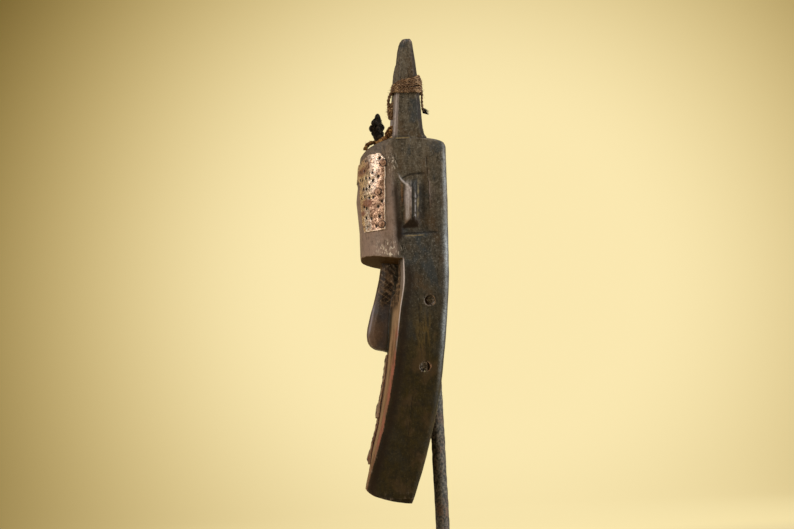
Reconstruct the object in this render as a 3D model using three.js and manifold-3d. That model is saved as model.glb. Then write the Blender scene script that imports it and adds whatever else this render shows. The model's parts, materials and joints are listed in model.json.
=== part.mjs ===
// Toma mask from West Africa, carved from one block of wood, with two horns, a hollow back, punched
// sheet metal nailed to the forehead and lower face, cord tied round the horns, and an iron stand.
// Millimetres, +Z up. The mask faces -Y. The origin is the middle of the stand's underside.

import * as THREE from 'three';
import { mergeVertices } from 'three/addons/utils/BufferGeometryUtils.js';
import Module from 'manifold-3d';

const wasm = await Module();
wasm.setup();

// Driving dimensions of the stand
const FOOT = { width: 180, depth: 150, thick: 18, corner: 8, bevel: 2.5 };
const BOSS = { radius: 17, topRadius: 14, height: 8 };
const ROD = { radius: 8, behindMiddle: 30, footEnd: 4, topAboveBrow: 122 };
const FIT = 0.3; // air between two pieces that touch

// The mask is drawn from the lower edge of its forehead block: heights run up from that edge, and
// depths run back from a line through the eyes. BROW places both over the foot.
const BROW = { height: 390, depth: -6.2 };

// Driving dimensions of the mask
const HALF_WIDTH = 75;
const TOP = 137.5;
const CHIN = { cornerFrom: -262, corner: 14 };
const WALL = 11;
const RIM = { width: 4, rise: 2.5 };
const BLOCK = { inset: 0.4, roundness: 2.7, undersideRise: 0.175 };
const NOSE = { start: 6, tip: -101.4 };
const HORN = { root: 130, tip: 250.4, rightIsForward: 0.8 };
const EAR = { height: 9, sink: 3.5, crestWidth: 2.6 };
const SIDE_HOLE = { radius: 5.75, pegRadius: 5.4, pegLength: 9, pegSunk: 2.2 };
const EYE_HOLE = { radius: 3.5, side: 30, height: -25 };
const HOLLOW = { low: -256, high: 106, roundness: 2.8 };
const THROUGH = 200; // longer than anything that a cutter goes through

// Driving dimensions of what is fastened to it
const SHEET = 1.2;
const PLATE = { low: 33, high: 120, archTop: 98, cornerCut: 7, rearAtLow: -13.8, rearAtHigh: -9.1 };
const UPPER_STRIP = { high: -105, low: -176, halfWidth: 27, liftFrom: -155 };
const LOWER_STRIP = { high: -168, low: -228, halfWidth: 24, curl: 2.6, curlFrom: -212 };
const PLATE_NAIL = { radius: 4.6, dome: 2 };
const STRIP_NAIL = { radius: 3, dome: 1.2 };
const CORD = 3.6; // thickness of the cord on the horns
const ROPE = 6; // thickness of the rope on the crown, whose loose end is thinner
const ROPE_END = 3.9;

const WOOD = new THREE.MeshStandardMaterial({ color: 0x2f2820, roughness: 0.55 });
const PEG_WOOD = new THREE.MeshStandardMaterial({ color: 0x3b3228, roughness: 0.8 });
const TIN = new THREE.MeshStandardMaterial({ color: 0xb49c86, roughness: 0.45, metalness: 0.6 });
const OLD_TIN = new THREE.MeshStandardMaterial({ color: 0x5d4a40, roughness: 0.6, metalness: 0.5 });
const NAIL_IRON = new THREE.MeshStandardMaterial({ color: 0x6b5238, roughness: 0.5, metalness: 0.7 });
const FIBRE = new THREE.MeshStandardMaterial({ color: 0x6e4a33, roughness: 0.95 });
const DARK_FIBRE = new THREE.MeshStandardMaterial({ color: 0x1d1715, roughness: 1.0 });
const IRON = new THREE.MeshStandardMaterial({ color: 0x34322f, roughness: 0.6, metalness: 0.8 });

// A smooth curve through stations of [height, value], held level beyond the two ends
function along(stations) {
  const ordered = [...stations].sort((a, b) => a[0] - b[0]);
  const heights = ordered.map((s) => s[0]);
  const values = ordered.map((s) => s[1]);
  const slopes = heights.map((h, i) => {
    if (i === 0 || i === heights.length - 1) return 0;
    const before = (values[i] - values[i - 1]) / (h - heights[i - 1]);
    const after = (values[i + 1] - values[i]) / (heights[i + 1] - h);
    return before * after <= 0 ? 0 : (2 * before * after) / (before + after);
  });
  return (z) => {
    if (z <= heights[0]) return values[0];
    if (z >= heights.at(-1)) return values.at(-1);
    const i = heights.findIndex((h) => h > z) - 1;
    const span = heights[i + 1] - heights[i];
    const t = (z - heights[i]) / span;
    const rise = (1 + 2 * t) * (1 - t) ** 2 * values[i] + t * t * (3 - 2 * t) * values[i + 1];
    return rise + span * (t * (1 - t) ** 2 * slopes[i] - t * t * (1 - t) * slopes[i + 1]);
  };
}

// Depths of the side view, and widths of the front view, at each height from the brow
const backEdge = along([
  [-290, -4], [-274, 2], [-240, 14.2], [-190, 29.4], [-139, 41.2], [-80, 49.4], [-20, 55.5],
  [60, 58.2], [124, 59.8], [129, 57.8], [132, 52], [134.5, 42], [TOP, 24],
]);
const frontEdge = along([
  [-290, -54], [-262, -50.5], [-213, -35], [-185, -26.5], [-130, -13.5], [-59, -2], [-20, 4.6],
  [20, 5], [130, 8.5],
]);
const faceRise = along([
  [-290, 0.2], [-262, 0.4], [-237, 1.8], [-205, 6.4], [-183, 6.2], [-160, 8.4], [-104, 8], [-55, 10.5],
]);
const halfWidth = along([
  [-290, 42], [-262, 44], [-213, 54], [-130, 65.5], [-60, 72], [0, HALF_WIDTH], [120, HALF_WIDTH],
  [133, HALF_WIDTH - 1.2], [TOP, HALF_WIDTH - 4],
]);
const blockFront = along([
  [-6, -41], [12, -42.2], [40, -41.7], [60, -42.5], [75, -43.5], [88, -41.6], [98, -39.8], [108, -38.6],
  [118, -37.6], [124, -36.4], [130, -31.2], [134.5, -22.4], [TOP, -9.5],
]);
const blockBack = (z) => 1.5 + 0.05 * z;
const noseFront = along([
  [NOSE.tip, -17.4], [-97.5, -30.8], [-93.2, -36.3], [-87, -39], [-80, -39.4], [-72, -38.2],
  [-45, -29.9], [-17, -22.2], [NOSE.start, -18],
]);
const hornFront = along([
  [HORN.root, 0.4], [151, 1.6], [169, 3.1], [194, 5.8], [230, 9.6], [242, 12], [248.2, 15],
  [HORN.tip, 17.2],
]);
const hornBack = along([
  [HORN.root, 46], [135, 40], [139, 36.6], [146, 35.3], [192, 33.4], [227, 30.9], [241, 29.6],
  [248.2, 28.4], [HORN.tip, 26.6],
]);
const hornOuter = along([
  [HORN.root, 74], [150, 73], [195, 70.5], [238, 66.5], [247, 65.4], [HORN.tip, 63.4],
]);
const hornInner = along([
  [HORN.root, 40], [150, 44], [195, 50], [238, 54], [247, 55.4], [HORN.tip, 57.5],
]);
const hollowFront = along([
  [-256, -30], [-230, -27], [-185, -12], [-130, 1], [-80, 7], [-45, 14], [-20, 17.5], [0, 10],
  [22, -6], [55, -16], [90, -15], [106, -6],
]);

// Evenly spaced numbers from one end to the other, both included
function spread(from, to, count) {
  return Array.from({ length: count }, (_, i) => from + ((to - from) * i) / (count - 1));
}

// A superellipse's half outline from -half to +half, as [side, depth fraction from 0 to 1 and back]
function bow(half, roundness, count) {
  return spread(-1, 1, count).map((t) => {
    const angle = ((1 - t) * Math.PI) / 2;
    const side = Math.sign(Math.cos(angle)) * Math.abs(Math.cos(angle)) ** (2 / roundness);
    return [half * side, Math.sin(angle) ** (2 / roundness)];
  });
}

// A closed solid through a stack of rings, each with the same number of points, with filled ends.
// Every ring runs anticlockwise when seen from the end that the stack grows towards.
function loft(rings, flatten = (p) => new THREE.Vector2(p.x, p.y)) {
  const size = rings[0].length;
  const positions = rings.flat().flatMap((p) => [p.x, p.y, p.z]);
  const faces = [];
  for (let ring = 0; ring + 1 < rings.length; ring++) {
    for (let i = 0; i < size; i++) {
      const a = ring * size + i;
      const b = ring * size + ((i + 1) % size);
      faces.push(a, b, b + size, a, b + size, a + size);
    }
  }
  const last = (rings.length - 1) * size;
  for (const [a, b, c] of THREE.ShapeUtils.triangulateShape(rings[0].map(flatten), [])) {
    faces.push(c, b, a);
  }
  for (const [a, b, c] of THREE.ShapeUtils.triangulateShape(rings.at(-1).map(flatten), [])) {
    faces.push(last + a, last + b, last + c);
  }
  const geometry = new THREE.BufferGeometry();
  geometry.setAttribute('position', new THREE.Float32BufferAttribute(positions, 3));
  geometry.setIndex(faces);
  return geometry;
}

// The same shape on the other side of the mask's middle plane
function mirrored(geometry) {
  const copy = geometry.clone().scale(-1, 1, 1);
  const index = copy.getIndex();
  for (let i = 0; i < index.count; i += 3) {
    const first = index.getX(i);
    index.setX(i, index.getX(i + 2));
    index.setX(i + 2, first);
  }
  return copy;
}

function solid(geometry) {
  const bare = geometry.clone();
  for (const name of Object.keys(bare.attributes)) {
    if (name !== 'position') bare.deleteAttribute(name);
  }
  const merged = mergeVertices(bare, 1e-4);
  return new wasm.Manifold(new wasm.Mesh({
    numProp: 3,
    vertProperties: new Float32Array(merged.attributes.position.array),
    triVerts: new Uint32Array(merged.index.array),
  }));
}

function geometryOf(manifold) {
  const mesh = manifold.getMesh();
  const geometry = new THREE.BufferGeometry();
  const positions = new Float32Array(mesh.vertProperties);
  geometry.setAttribute('position', new THREE.BufferAttribute(positions, 3));
  geometry.setIndex([...mesh.triVerts]);
  return geometry;
}

function bothSides(makeGeometry) {
  const left = solid(makeGeometry());
  return left.add(solid(mirrored(geometryOf(left))));
}

// The plank: the sides, the convex face and the flat top, before it is hollowed
function faceDepth(x, z) {
  const half = halfWidth(z);
  const rise = faceRise(z);
  const bevel = Math.min(RIM.rise, rise / 2);
  const inner = half - RIM.width;
  if (Math.abs(x) >= inner) return frontEdge(z) - (bevel * (half - Math.abs(x))) / RIM.width;
  return frontEdge(z) - bevel - (rise - bevel) * (1 - (x / inner) ** 2);
}

function plank() {
  const edge = 2.2;
  const heights = [...spread(-290, -262, 5), ...spread(-250, -170, 7), ...spread(-157, -20, 9),
    0, 60, 124, 129, 132, 134.5, TOP];
  return loft(heights.map((z) => {
    const under = Math.max(0, CHIN.cornerFrom - z);
    const corner = CHIN.corner - Math.sqrt(Math.max(0, CHIN.corner ** 2 - under ** 2));
    const half = halfWidth(z) - Math.min(corner, CHIN.corner);
    const inner = halfWidth(z) - RIM.width;
    const front = [-half, ...spread(-Math.min(inner, half - 1), Math.min(inner, half - 1), 13), half];
    const ring = front.map((x) => new THREE.Vector3(x, faceDepth(x, z), z));
    const back = backEdge(z);
    ring.push(
      new THREE.Vector3(half, back - edge, z), new THREE.Vector3(half - edge, back, z),
      new THREE.Vector3(edge - half, back, z), new THREE.Vector3(-half, back - edge, z),
    );
    return ring;
  }));
}

// The forehead block, a bow in plan with a domed top. skin makes it larger all round.
function foreheadBlock(heights, skin) {
  const half = HALF_WIDTH - BLOCK.inset + skin;
  const intoPlank = 12;
  const outline = bow(half, BLOCK.roundness, 25);
  return loft(heights.map((z) => {
    const back = blockBack(z);
    const depth = back - blockFront(z) + skin;
    const ring = outline.map(([x, f]) => new THREE.Vector3(x, back - depth * f, z));
    ring.push(new THREE.Vector3(half, back + intoPlank, z), new THREE.Vector3(-half, back + intoPlank, z));
    return ring;
  }));
}

// An outline drawn in depth and height, carried across the whole width of the mask
function across(outline) {
  const turn = new THREE.Matrix4().makeBasis(
    new THREE.Vector3(0, 1, 0), new THREE.Vector3(0, 0, 1), new THREE.Vector3(1, 0, 0));
  const bar = new THREE.ExtrudeGeometry(outline, { depth: THROUGH, bevelEnabled: false, curveSegments: 5 });
  return bar.applyMatrix4(turn).translate(-THROUGH / 2, 0, 0);
}

// What is cut away under the brow, whose lower face rises to the front
function underBrow() {
  const lowerFace = (depth) => -0.6 - depth * BLOCK.undersideRise;
  const [front, back, bottom] = [-60, 40, -40];
  const outline = new THREE.Shape();
  outline.moveTo(back, bottom).lineTo(back, lowerFace(back));
  outline.lineTo(front, lowerFace(front)).lineTo(front, bottom);
  return across(outline);
}

// What is cut away below the chin, whose end is rounded to the front and sinks to the back
function underChin() {
  const outline = new THREE.Shape();
  outline.moveTo(-80, -246).lineTo(-50.5, -255);
  outline.quadraticCurveTo(-47, -262.5, -36, -266);
  outline.quadraticCurveTo(-18, -273.4, 4, -275.4);
  outline.lineTo(40, -279).lineTo(40, -330).lineTo(-80, -330);
  return across(outline);
}

// The hollow back, a scoop that gets shallow and narrow towards both of its ends
function hollow() {
  const { low, high, roundness } = HOLLOW;
  const behind = 30;
  return loft(spread(0, 1, 23).map((t) => {
    const z = low + (high - low) * (1 - Math.cos(Math.PI * t)) / 2;
    const fromMiddle = Math.abs((2 * (z - low)) / (high - low) - 1);
    const scoop = Math.max(0.04, Math.sqrt(1 - fromMiddle ** 7));
    const half = (halfWidth(z) - WALL) * (0.35 + 0.65 * scoop);
    const back = backEdge(z);
    const depth = (back - hollowFront(z)) * scoop;
    const ring = bow(half, roundness, 17).map(([x, f]) => new THREE.Vector3(x, back - depth * f, z));
    ring.push(new THREE.Vector3(half, back + behind, z), new THREE.Vector3(-half, back + behind, z));
    return ring;
  }));
}

function nose() {
  const widest = along([[NOSE.tip, 15], [-80, 16], [-40, 13], [NOSE.start, 12]]);
  const heights = [NOSE.tip, -99.7, -97.5, -95.5, -93.2, -90, -87, -80, -72, -58, -45, -31, -17, NOSE.start];
  return loft(heights.map((z) => {
    const front = noseFront(z);
    const side = widest(z);
    const cheek = Math.max(front + 9, -5);
    const ring = [[-side, cheek], [-side + 1.2, front + 8], [-side + 4, front + 2], [-3, front], [3, front],
      [side - 4, front + 2], [side - 1.2, front + 8], [side, cheek], [side, 14], [-side, 14]];
    return ring.map(([x, y]) => new THREE.Vector3(x, y, z));
  }));
}

// The hollow under the brow beside the nose, deepest under the block and running out on the cheek
function eyeSocket() {
  const outer = along([[-47, 21], [-38, 34], [-22, 50], [4, 60]]);
  const floor = along([[-47, -20], [-40, -8], [-30, 2], [-18, 6], [4, 7]]);
  return loft(spread(-47, 4, 8).map((z) => {
    const ring = [[11, -40], [outer(z), -40], [outer(z), floor(z) - 4], [outer(z) - 4, floor(z)],
      [14, floor(z)], [11, floor(z) - 3]];
    return ring.map(([x, y]) => new THREE.Vector3(x, y, z));
  }));
}

function horn() {
  const heights = [HORN.root, 135, 139, 146, 160, 177, 194, 211, 228, 238, 244, 247.5, 249.5, HORN.tip];
  return loft(heights.map((z) => {
    const front = hornFront(z);
    const back = hornBack(z);
    const outer = hornOuter(z);
    const inner = hornInner(z);
    const corner = Math.min(4.2, (outer - inner) / 4, (back - front) / 4);
    const bevel = Math.min(5, (back - front) / 3);
    const ring = [[inner + corner, front], [outer - 1.9 * bevel, front], [outer, front + bevel],
      [outer, back - corner], [outer - corner, back], [inner + corner, back], [inner, back - corner],
      [inner, front + corner]];
    ring[1][0] = Math.max(ring[1][0], inner + corner + 0.2);
    return ring.map(([x, y]) => new THREE.Vector3(x, y, z));
  }));
}

// Carved by eye, the right horn stands a little further forward
const forward = (geometry) => mirrored(geometry).translate(0, -HORN.rightIsForward, 0);
const rightHorn = () => forward(horn());

// Shapes on the side of the head grow outwards along X, so their ends are filled in the YZ plane
const SIDEWAYS = (p) => new THREE.Vector2(p.y, p.z);

// The ear is a ridge like a hipped roof, hollow on its front slope
function ear() {
  const base = HALF_WIDTH - EAR.sink;
  return loft([-0.4, 0, 0.3, 0.6, 0.85, 1].map((level) => {
    const up = Math.max(0, level);
    const front = 13.2 * up ** 0.6;
    const back = (9.2 - EAR.crestWidth) * up;
    const end = 10.5 * up;
    const x = base + EAR.height * level;
    return [[3.4 + front, 34 + end], [25.4 - back, 34 + end], [27.6 - back, 89 - end], [6 + front, 89 - end]]
      .map(([y, z]) => new THREE.Vector3(x, y, z));
  }), SIDEWAYS);
}

// The sunk field round the ear, which runs out softly above and behind and has an arched lower edge
function earField() {
  const front = 5;
  const [low, arch] = [26, 2.2];
  return loft([[-EAR.sink, 0], [0.5, 1]].map(([out, wider]) => {
    const back = 31 + 17 * wider;
    const high = 84 + 12 * wider;
    const ring = spread(0, 1, 7).map((t) => (
      [front + (back - front) * t, low + arch * Math.sin(Math.PI * t) + t * 1.2 - wider]));
    ring.push([back + 1, high - 6 * wider], [front + 3, high]);
    return ring.map(([y, z]) => new THREE.Vector3(HALF_WIDTH + out, y, z));
  }), SIDEWAYS);
}

// The line cut under the sunk field
function groove() {
  const path = new THREE.QuadraticBezierCurve3(
    new THREE.Vector3(HALF_WIDTH, 4, 25),
    new THREE.Vector3(HALF_WIDTH, 25, 31.2),
    new THREE.Vector3(HALF_WIDTH, 45, 26.4),
  );
  const section = new THREE.Shape().absarc(0, 0, 2.4, 0, 2 * Math.PI);
  return new THREE.ExtrudeGeometry(section, { extrudePath: path, steps: 8, curveSegments: 3 });
}

// An upright bore that the rod fits, with one end at the given height
function rodBore(depth, end, length) {
  const radius = ROD.radius + FIT;
  const bore = new THREE.CylinderGeometry(radius, radius, Math.abs(length), 24).rotateX(Math.PI / 2);
  return bore.translate(0, depth, end + length / 2);
}

const SIDE_HOLES = [
  { name: 'upper', depth: 32.1, height: -49.3 },
  { name: 'lower', depth: 23, height: -122.7 },
];

function crossBore({ depth, height }) {
  const { radius } = SIDE_HOLE;
  const bore = new THREE.CylinderGeometry(radius, radius, THROUGH, 20).rotateZ(Math.PI / 2);
  return bore.translate(0, depth, height);
}

function eyeHole() {
  const bore = new THREE.CylinderGeometry(EYE_HOLE.radius, EYE_HOLE.radius, 80, 12);
  return bore.translate(EYE_HOLE.side, 0, EYE_HOLE.height);
}

function carvedMask() {
  const heights = [-8, 12, 40, 60, 75, 88, 98, 108, 118, 124, 128, 131, 134, 136, TOP];
  const block = solid(foreheadBlock(heights, 0)).subtract(solid(underBrow()));
  const head = solid(plank())
    .subtract(solid(underChin()))
    .subtract(bothSides(eyeSocket))
    .add(block)
    .add(solid(nose()))
    .subtract(bothSides(earField))
    .subtract(bothSides(groove))
    .add(bothSides(ear))
    .add(solid(horn()))
    .add(solid(rightHorn()))
    .subtract(solid(hollow()))
    .subtract(solid(rodBore(ROD.behindMiddle - BROW.depth, ROD.topAboveBrow + FIT, -THROUGH)))
    .subtract(bothSides(eyeHole));
  return SIDE_HOLES.reduce((rest, hole) => rest.subtract(solid(crossBore(hole))), head);
}

// The sheet's middle is cut out from below as a tall arch, drawn in width and height
function plateArch() {
  const outline = new THREE.Shape();
  outline.moveTo(54, PLATE.low - 5).lineTo(48, 38.5).lineTo(46, 49).lineTo(46, 80);
  outline.bezierCurveTo(45, 93, 28, PLATE.archTop, 0, PLATE.archTop);
  outline.bezierCurveTo(-28, PLATE.archTop, -45, 93, -46, 80);
  outline.lineTo(-46, 49).lineTo(-48, 38.5).lineTo(-54, PLATE.low - 5);
  const bar = new THREE.ExtrudeGeometry(outline, { depth: THROUGH, bevelEnabled: false, curveSegments: 6 });
  return bar.rotateX(Math.PI / 2);
}

// Punched sheet bent round the forehead, with its upper corners cut off
function foreheadPlate() {
  const heights = [PLATE.low, 40, 60, 75, 88, 98, 108, 118, PLATE.high];
  const inside = [PLATE.low - 5, ...heights.slice(1), PLATE.high + 5];
  const shell = solid(foreheadBlock(heights, FIT + SHEET)).subtract(solid(foreheadBlock(inside, FIT)));
  const outline = new THREE.Shape([
    new THREE.Vector2(-80, PLATE.low - 1),
    new THREE.Vector2(PLATE.rearAtLow, PLATE.low - 1),
    new THREE.Vector2(PLATE.rearAtHigh - 1, PLATE.high - PLATE.cornerCut),
    new THREE.Vector2(PLATE.rearAtHigh - PLATE.cornerCut, PLATE.high + 1),
    new THREE.Vector2(-80, PLATE.high + 1),
  ]);
  return shell.intersect(solid(across(outline))).subtract(solid(plateArch()));
}

// A strip of sheet down the middle of the face. lift tells how far it stands off the wood.
function faceStrip({ high, low, halfWidth: half }, lift) {
  return loft(spread(low, high, 9).map((z) => {
    const sides = spread(-half, half, 7);
    const outer = sides.map((x) => new THREE.Vector3(x, faceDepth(x, z) - FIT - lift(z) - SHEET, z));
    const inner = sides.reverse().map((x) => new THREE.Vector3(x, faceDepth(x, z) - FIT - lift(z), z));
    return [...outer, ...inner];
  }));
}

const upperLift = (z) => (SHEET + 2 * FIT)
  * THREE.MathUtils.smoothstep(UPPER_STRIP.liftFrom - z, 0, UPPER_STRIP.liftFrom - LOWER_STRIP.high);
const lowerLift = (z) => LOWER_STRIP.curl
  * Math.max(0, (LOWER_STRIP.curlFrom - z) / (LOWER_STRIP.curlFrom - LOWER_STRIP.low)) ** 1.5;

function nailHead({ radius, dome }) {
  const profile = [[0, 0], [radius, 0], [0.8 * radius, 0.65 * dome], [0, dome]];
  return solidLathe(profile, 10);
}

// Turned about +Z, closed on the axis
function solidLathe(profile, sides) {
  const points = profile.map(([radius, height]) => new THREE.Vector2(radius, height));
  return geometryOf(solid(new THREE.LatheGeometry(points, sides).rotateX(Math.PI / 2)));
}

// Where a nail in the forehead plate stands, and the way its head faces. around is an angle that
// starts at the block's left end.
function onPlate(around, z) {
  const half = HALF_WIDTH - BLOCK.inset + FIT + SHEET;
  const point = (angle, height) => {
    const depth = blockBack(height) - blockFront(height) + FIT + SHEET;
    const x = Math.sign(Math.cos(angle)) * Math.abs(Math.cos(angle)) ** (2 / BLOCK.roundness);
    const y = blockBack(height) - depth * Math.sin(angle) ** (2 / BLOCK.roundness);
    return new THREE.Vector3(half * x, y, height);
  };
  const sideways = point(around + 0.02, z).sub(point(around - 0.02, z));
  const up = point(around, z + 1).sub(point(around, z - 1));
  return { place: point(around, z), facing: up.cross(sideways).normalize() };
}

// The same for a nail in a face strip
function onFace(x, z, lift) {
  const place = new THREE.Vector3(x, faceDepth(x, z) - FIT - lift(z) - SHEET, z);
  const slopeX = (faceDepth(x + 1, z) - faceDepth(x - 1, z)) / 2;
  const slopeZ = (faceDepth(x, z + 1) - lift(z + 1) - faceDepth(x, z - 1) + lift(z - 1)) / 2;
  return { place, facing: new THREE.Vector3(slopeX, -1, slopeZ).normalize() };
}

// Cord wound round a horn: up from a short tail at the back, and down in turns that fan out behind
function hornBinding() {
  const points = [[61, 40.4, 166.5], [61, 37.6, 169.5], [61, 36.9, 177], [61.5, 36.6, 187], [62, 36.2, 196]]
    .map((p) => new THREE.Vector3(...p));
  const steps = 14;
  const turns = 3.5;
  const reach = CORD / 2 + FIT + 0.4;
  const bend = (v) => Math.sign(v) * Math.abs(v) ** (2 / 5);
  for (let i = 1; i <= turns * steps; i++) {
    const turn = i / steps;
    const angle = Math.PI / 2 - 2 * Math.PI * turn;
    const inFront = 199.6 - 4 * turn;
    const behind = 205 - 5.6 * turn;
    const z = inFront + ((behind - inFront) * (1 + Math.sin(angle))) / 2;
    const across = (hornOuter(z) - hornInner(z)) / 2 + reach;
    const deep = (hornBack(z) - hornFront(z)) / 2 + reach;
    points.push(new THREE.Vector3(
      (hornOuter(z) + hornInner(z)) / 2 + across * bend(Math.cos(angle)),
      (hornBack(z) + hornFront(z)) / 2 + deep * bend(Math.sin(angle)),
      z,
    ));
  }
  return points;
}

// The end of the left horn's cord, which hangs in front
const HANGING_END = [[59.5, -1.4, 178], [59.7, -2.2, 171], [59.5, -1.6, 159.5]];

function tube(points, thickness, steps) {
  const path = new THREE.CatmullRomCurve3(points, false, 'centripetal');
  const section = new THREE.Shape().absarc(0, 0, thickness / 2, 0, 2 * Math.PI);
  return new THREE.ExtrudeGeometry(section, { extrudePath: path, steps, curveSegments: 3 });
}

// The rope from one horn to the knot on the crown, and the loose end that arches over the forehead
const CROWN_ROPE = [
  [40.2, 8, 152], [37.5, 1.5, 150.4], [34, -2.8, 146.8], [28, -5.6, 144.2], [16, -10, 143.2], [8, -12.6, 142.6],
  [2, -13.2, 142.4],
];
const CROWN_END = [[0, -13, 142.4], [0, -19, 143.3], [0, -25, 143], [0, -28.8, 139.8], [0, -30.2, 135]];

function crownKnot() {
  return new THREE.SphereGeometry(4.6, 10, 6).scale(1.25, 0.95, 0.85).translate(0, -13.2, 142.4);
}

function crownRope() {
  const end = tube(CROWN_END.map((p) => new THREE.Vector3(...p)), ROPE_END, 8);
  return bothSides(() => tube(CROWN_ROPE.map((p) => new THREE.Vector3(...p)), ROPE, 10))
    .add(solid(end)).add(solid(crownKnot()));
}

// A knot of matted fibre: a neck, a body and a wisp on top, as [radius, height]
const TUFT = [
  [0, 0], [4.4, 0], [5.8, 3], [6.2, 6], [8, 11], [8.2, 15], [6.4, 19.5], [4.1, 23], [3, 27.5], [0, 29],
];
const TUFT_LEAN = -0.04;

function foot() {
  const { width, depth, thick, corner, bevel } = FOOT;
  const quarter = Math.PI / 2;
  const corners = [[1, -1, -quarter], [1, 1, 0], [-1, 1, quarter], [-1, -1, 2 * quarter]];
  const outline = (z, inset) => corners.flatMap(([sx, sy, start]) => (
    spread(start, start + quarter, 4).map((angle) => new THREE.Vector3(
      sx * (width / 2 - corner) + (corner - inset) * Math.cos(angle),
      sy * (depth / 2 - corner) + (corner - inset) * Math.sin(angle),
      z,
    ))));
  const plate = loft([outline(0, 0), outline(thick - bevel, 0), outline(thick, bevel)]);
  const sunk = 4;
  const boss = new THREE.CylinderGeometry(BOSS.topRadius, BOSS.radius, BOSS.height + sunk, 32);
  boss.rotateX(Math.PI / 2).translate(0, ROD.behindMiddle, thick + (BOSS.height - sunk) / 2);
  return solid(plate).add(solid(boss))
    .subtract(solid(rodBore(ROD.behindMiddle, ROD.footEnd - FIT, THROUGH)));
}

function rod() {
  const length = BROW.height + ROD.topAboveBrow - ROD.footEnd;
  const bar = new THREE.CylinderGeometry(ROD.radius, ROD.radius, length, 24).rotateX(Math.PI / 2);
  return bar.translate(0, ROD.behindMiddle, ROD.footEnd + length / 2);
}

const group = new THREE.Group();
const mask = new THREE.Group();
mask.position.set(0, BROW.depth, BROW.height);
group.add(mask);

function place(parent, name, geometry, material) {
  const mesh = new THREE.Mesh(geometry, material);
  mesh.name = name;
  parent.add(mesh);
  return mesh;
}

place(group, 'stand_foot', geometryOf(foot()), IRON);
place(group, 'stand_rod', rod(), IRON);
place(mask, 'mask', geometryOf(carvedMask()), WOOD);
place(mask, 'forehead_plate', geometryOf(foreheadPlate()), TIN);
place(mask, 'upper_face_strip', faceStrip(UPPER_STRIP, upperLift), OLD_TIN);
place(mask, 'lower_face_strip', faceStrip(LOWER_STRIP, lowerLift), OLD_TIN);

for (const { name, depth, height } of SIDE_HOLES) {
  for (const [side, sign] of [['left', 1], ['right', -1]]) {
    const { pegRadius, pegLength, pegSunk } = SIDE_HOLE;
    const peg = new THREE.CylinderGeometry(pegRadius, pegRadius, pegLength, 16);
    const mesh = place(mask, `peg_${name}_${side}`, peg, PEG_WOOD);
    mesh.rotation.z = Math.PI / 2;
    mesh.position.set(sign * (halfWidth(height) - pegSunk - pegLength / 2), depth, height);
  }
}

function placeNail(name, kind, { place: where, facing }) {
  const mesh = place(mask, name, nailHead(kind), NAIL_IRON);
  mesh.quaternion.setFromUnitVectors(new THREE.Vector3(0, 0, 1), facing);
  mesh.position.copy(where).addScaledVector(facing, FIT);
}

// Nails in the forehead plate, three up each side, as [turn round the block, height, name]
const PLATE_NAILS = [[0.3, 108.4, 'top'], [0.4, 76.2, 'middle'], [0.34, 39, 'bottom']];
for (const [around, z, name] of PLATE_NAILS) {
  placeNail(`plate_nail_${name}_left`, PLATE_NAIL, onPlate(around, z));
  placeNail(`plate_nail_${name}_right`, PLATE_NAIL, onPlate(Math.PI - around, z));
}

// Nails in the face strips, in pairs, as [strip, height, distance from the middle, lift]
const STRIP_NAILS = [
  ['upper', -111, 21, upperLift], ['upper', -138, 20, upperLift], ['upper', -156, 17, upperLift],
  ['lower', -199, 17, lowerLift], ['lower', -216, 15, lowerLift],
];
STRIP_NAILS.forEach(([strip, z, x, lift], i) => {
  placeNail(`${strip}_strip_nail_${i + 1}_left`, STRIP_NAIL, onFace(x, z, lift));
  placeNail(`${strip}_strip_nail_${i + 1}_right`, STRIP_NAIL, onFace(-x, z, lift));
});

const turnsOnly = hornBinding();
const withEnd = [...turnsOnly, ...HANGING_END.map((p) => new THREE.Vector3(...p))];
place(mask, 'horn_binding_left', geometryOf(solid(tube(withEnd, CORD, 64))), FIBRE);
place(mask, 'horn_binding_right', forward(geometryOf(solid(tube(turnsOnly, CORD, 60)))), FIBRE);
place(mask, 'crown_rope', geometryOf(crownRope()), FIBRE);
const tuft = place(mask, 'crown_tuft', solidLathe(TUFT, 10), DARK_FIBRE);
tuft.rotation.x = TUFT_LEAN;
tuft.position.set(0, -15, 147);

export default group;
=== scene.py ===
"""A toma mask on its iron stand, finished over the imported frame: carved wood, punched sheet metal,
nails, broken pegs, twisted cord and matted fibre. Sizes in the settings are metres, and the shapes
below are worked out in millimetres from the lower edge of the forehead block."""

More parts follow.
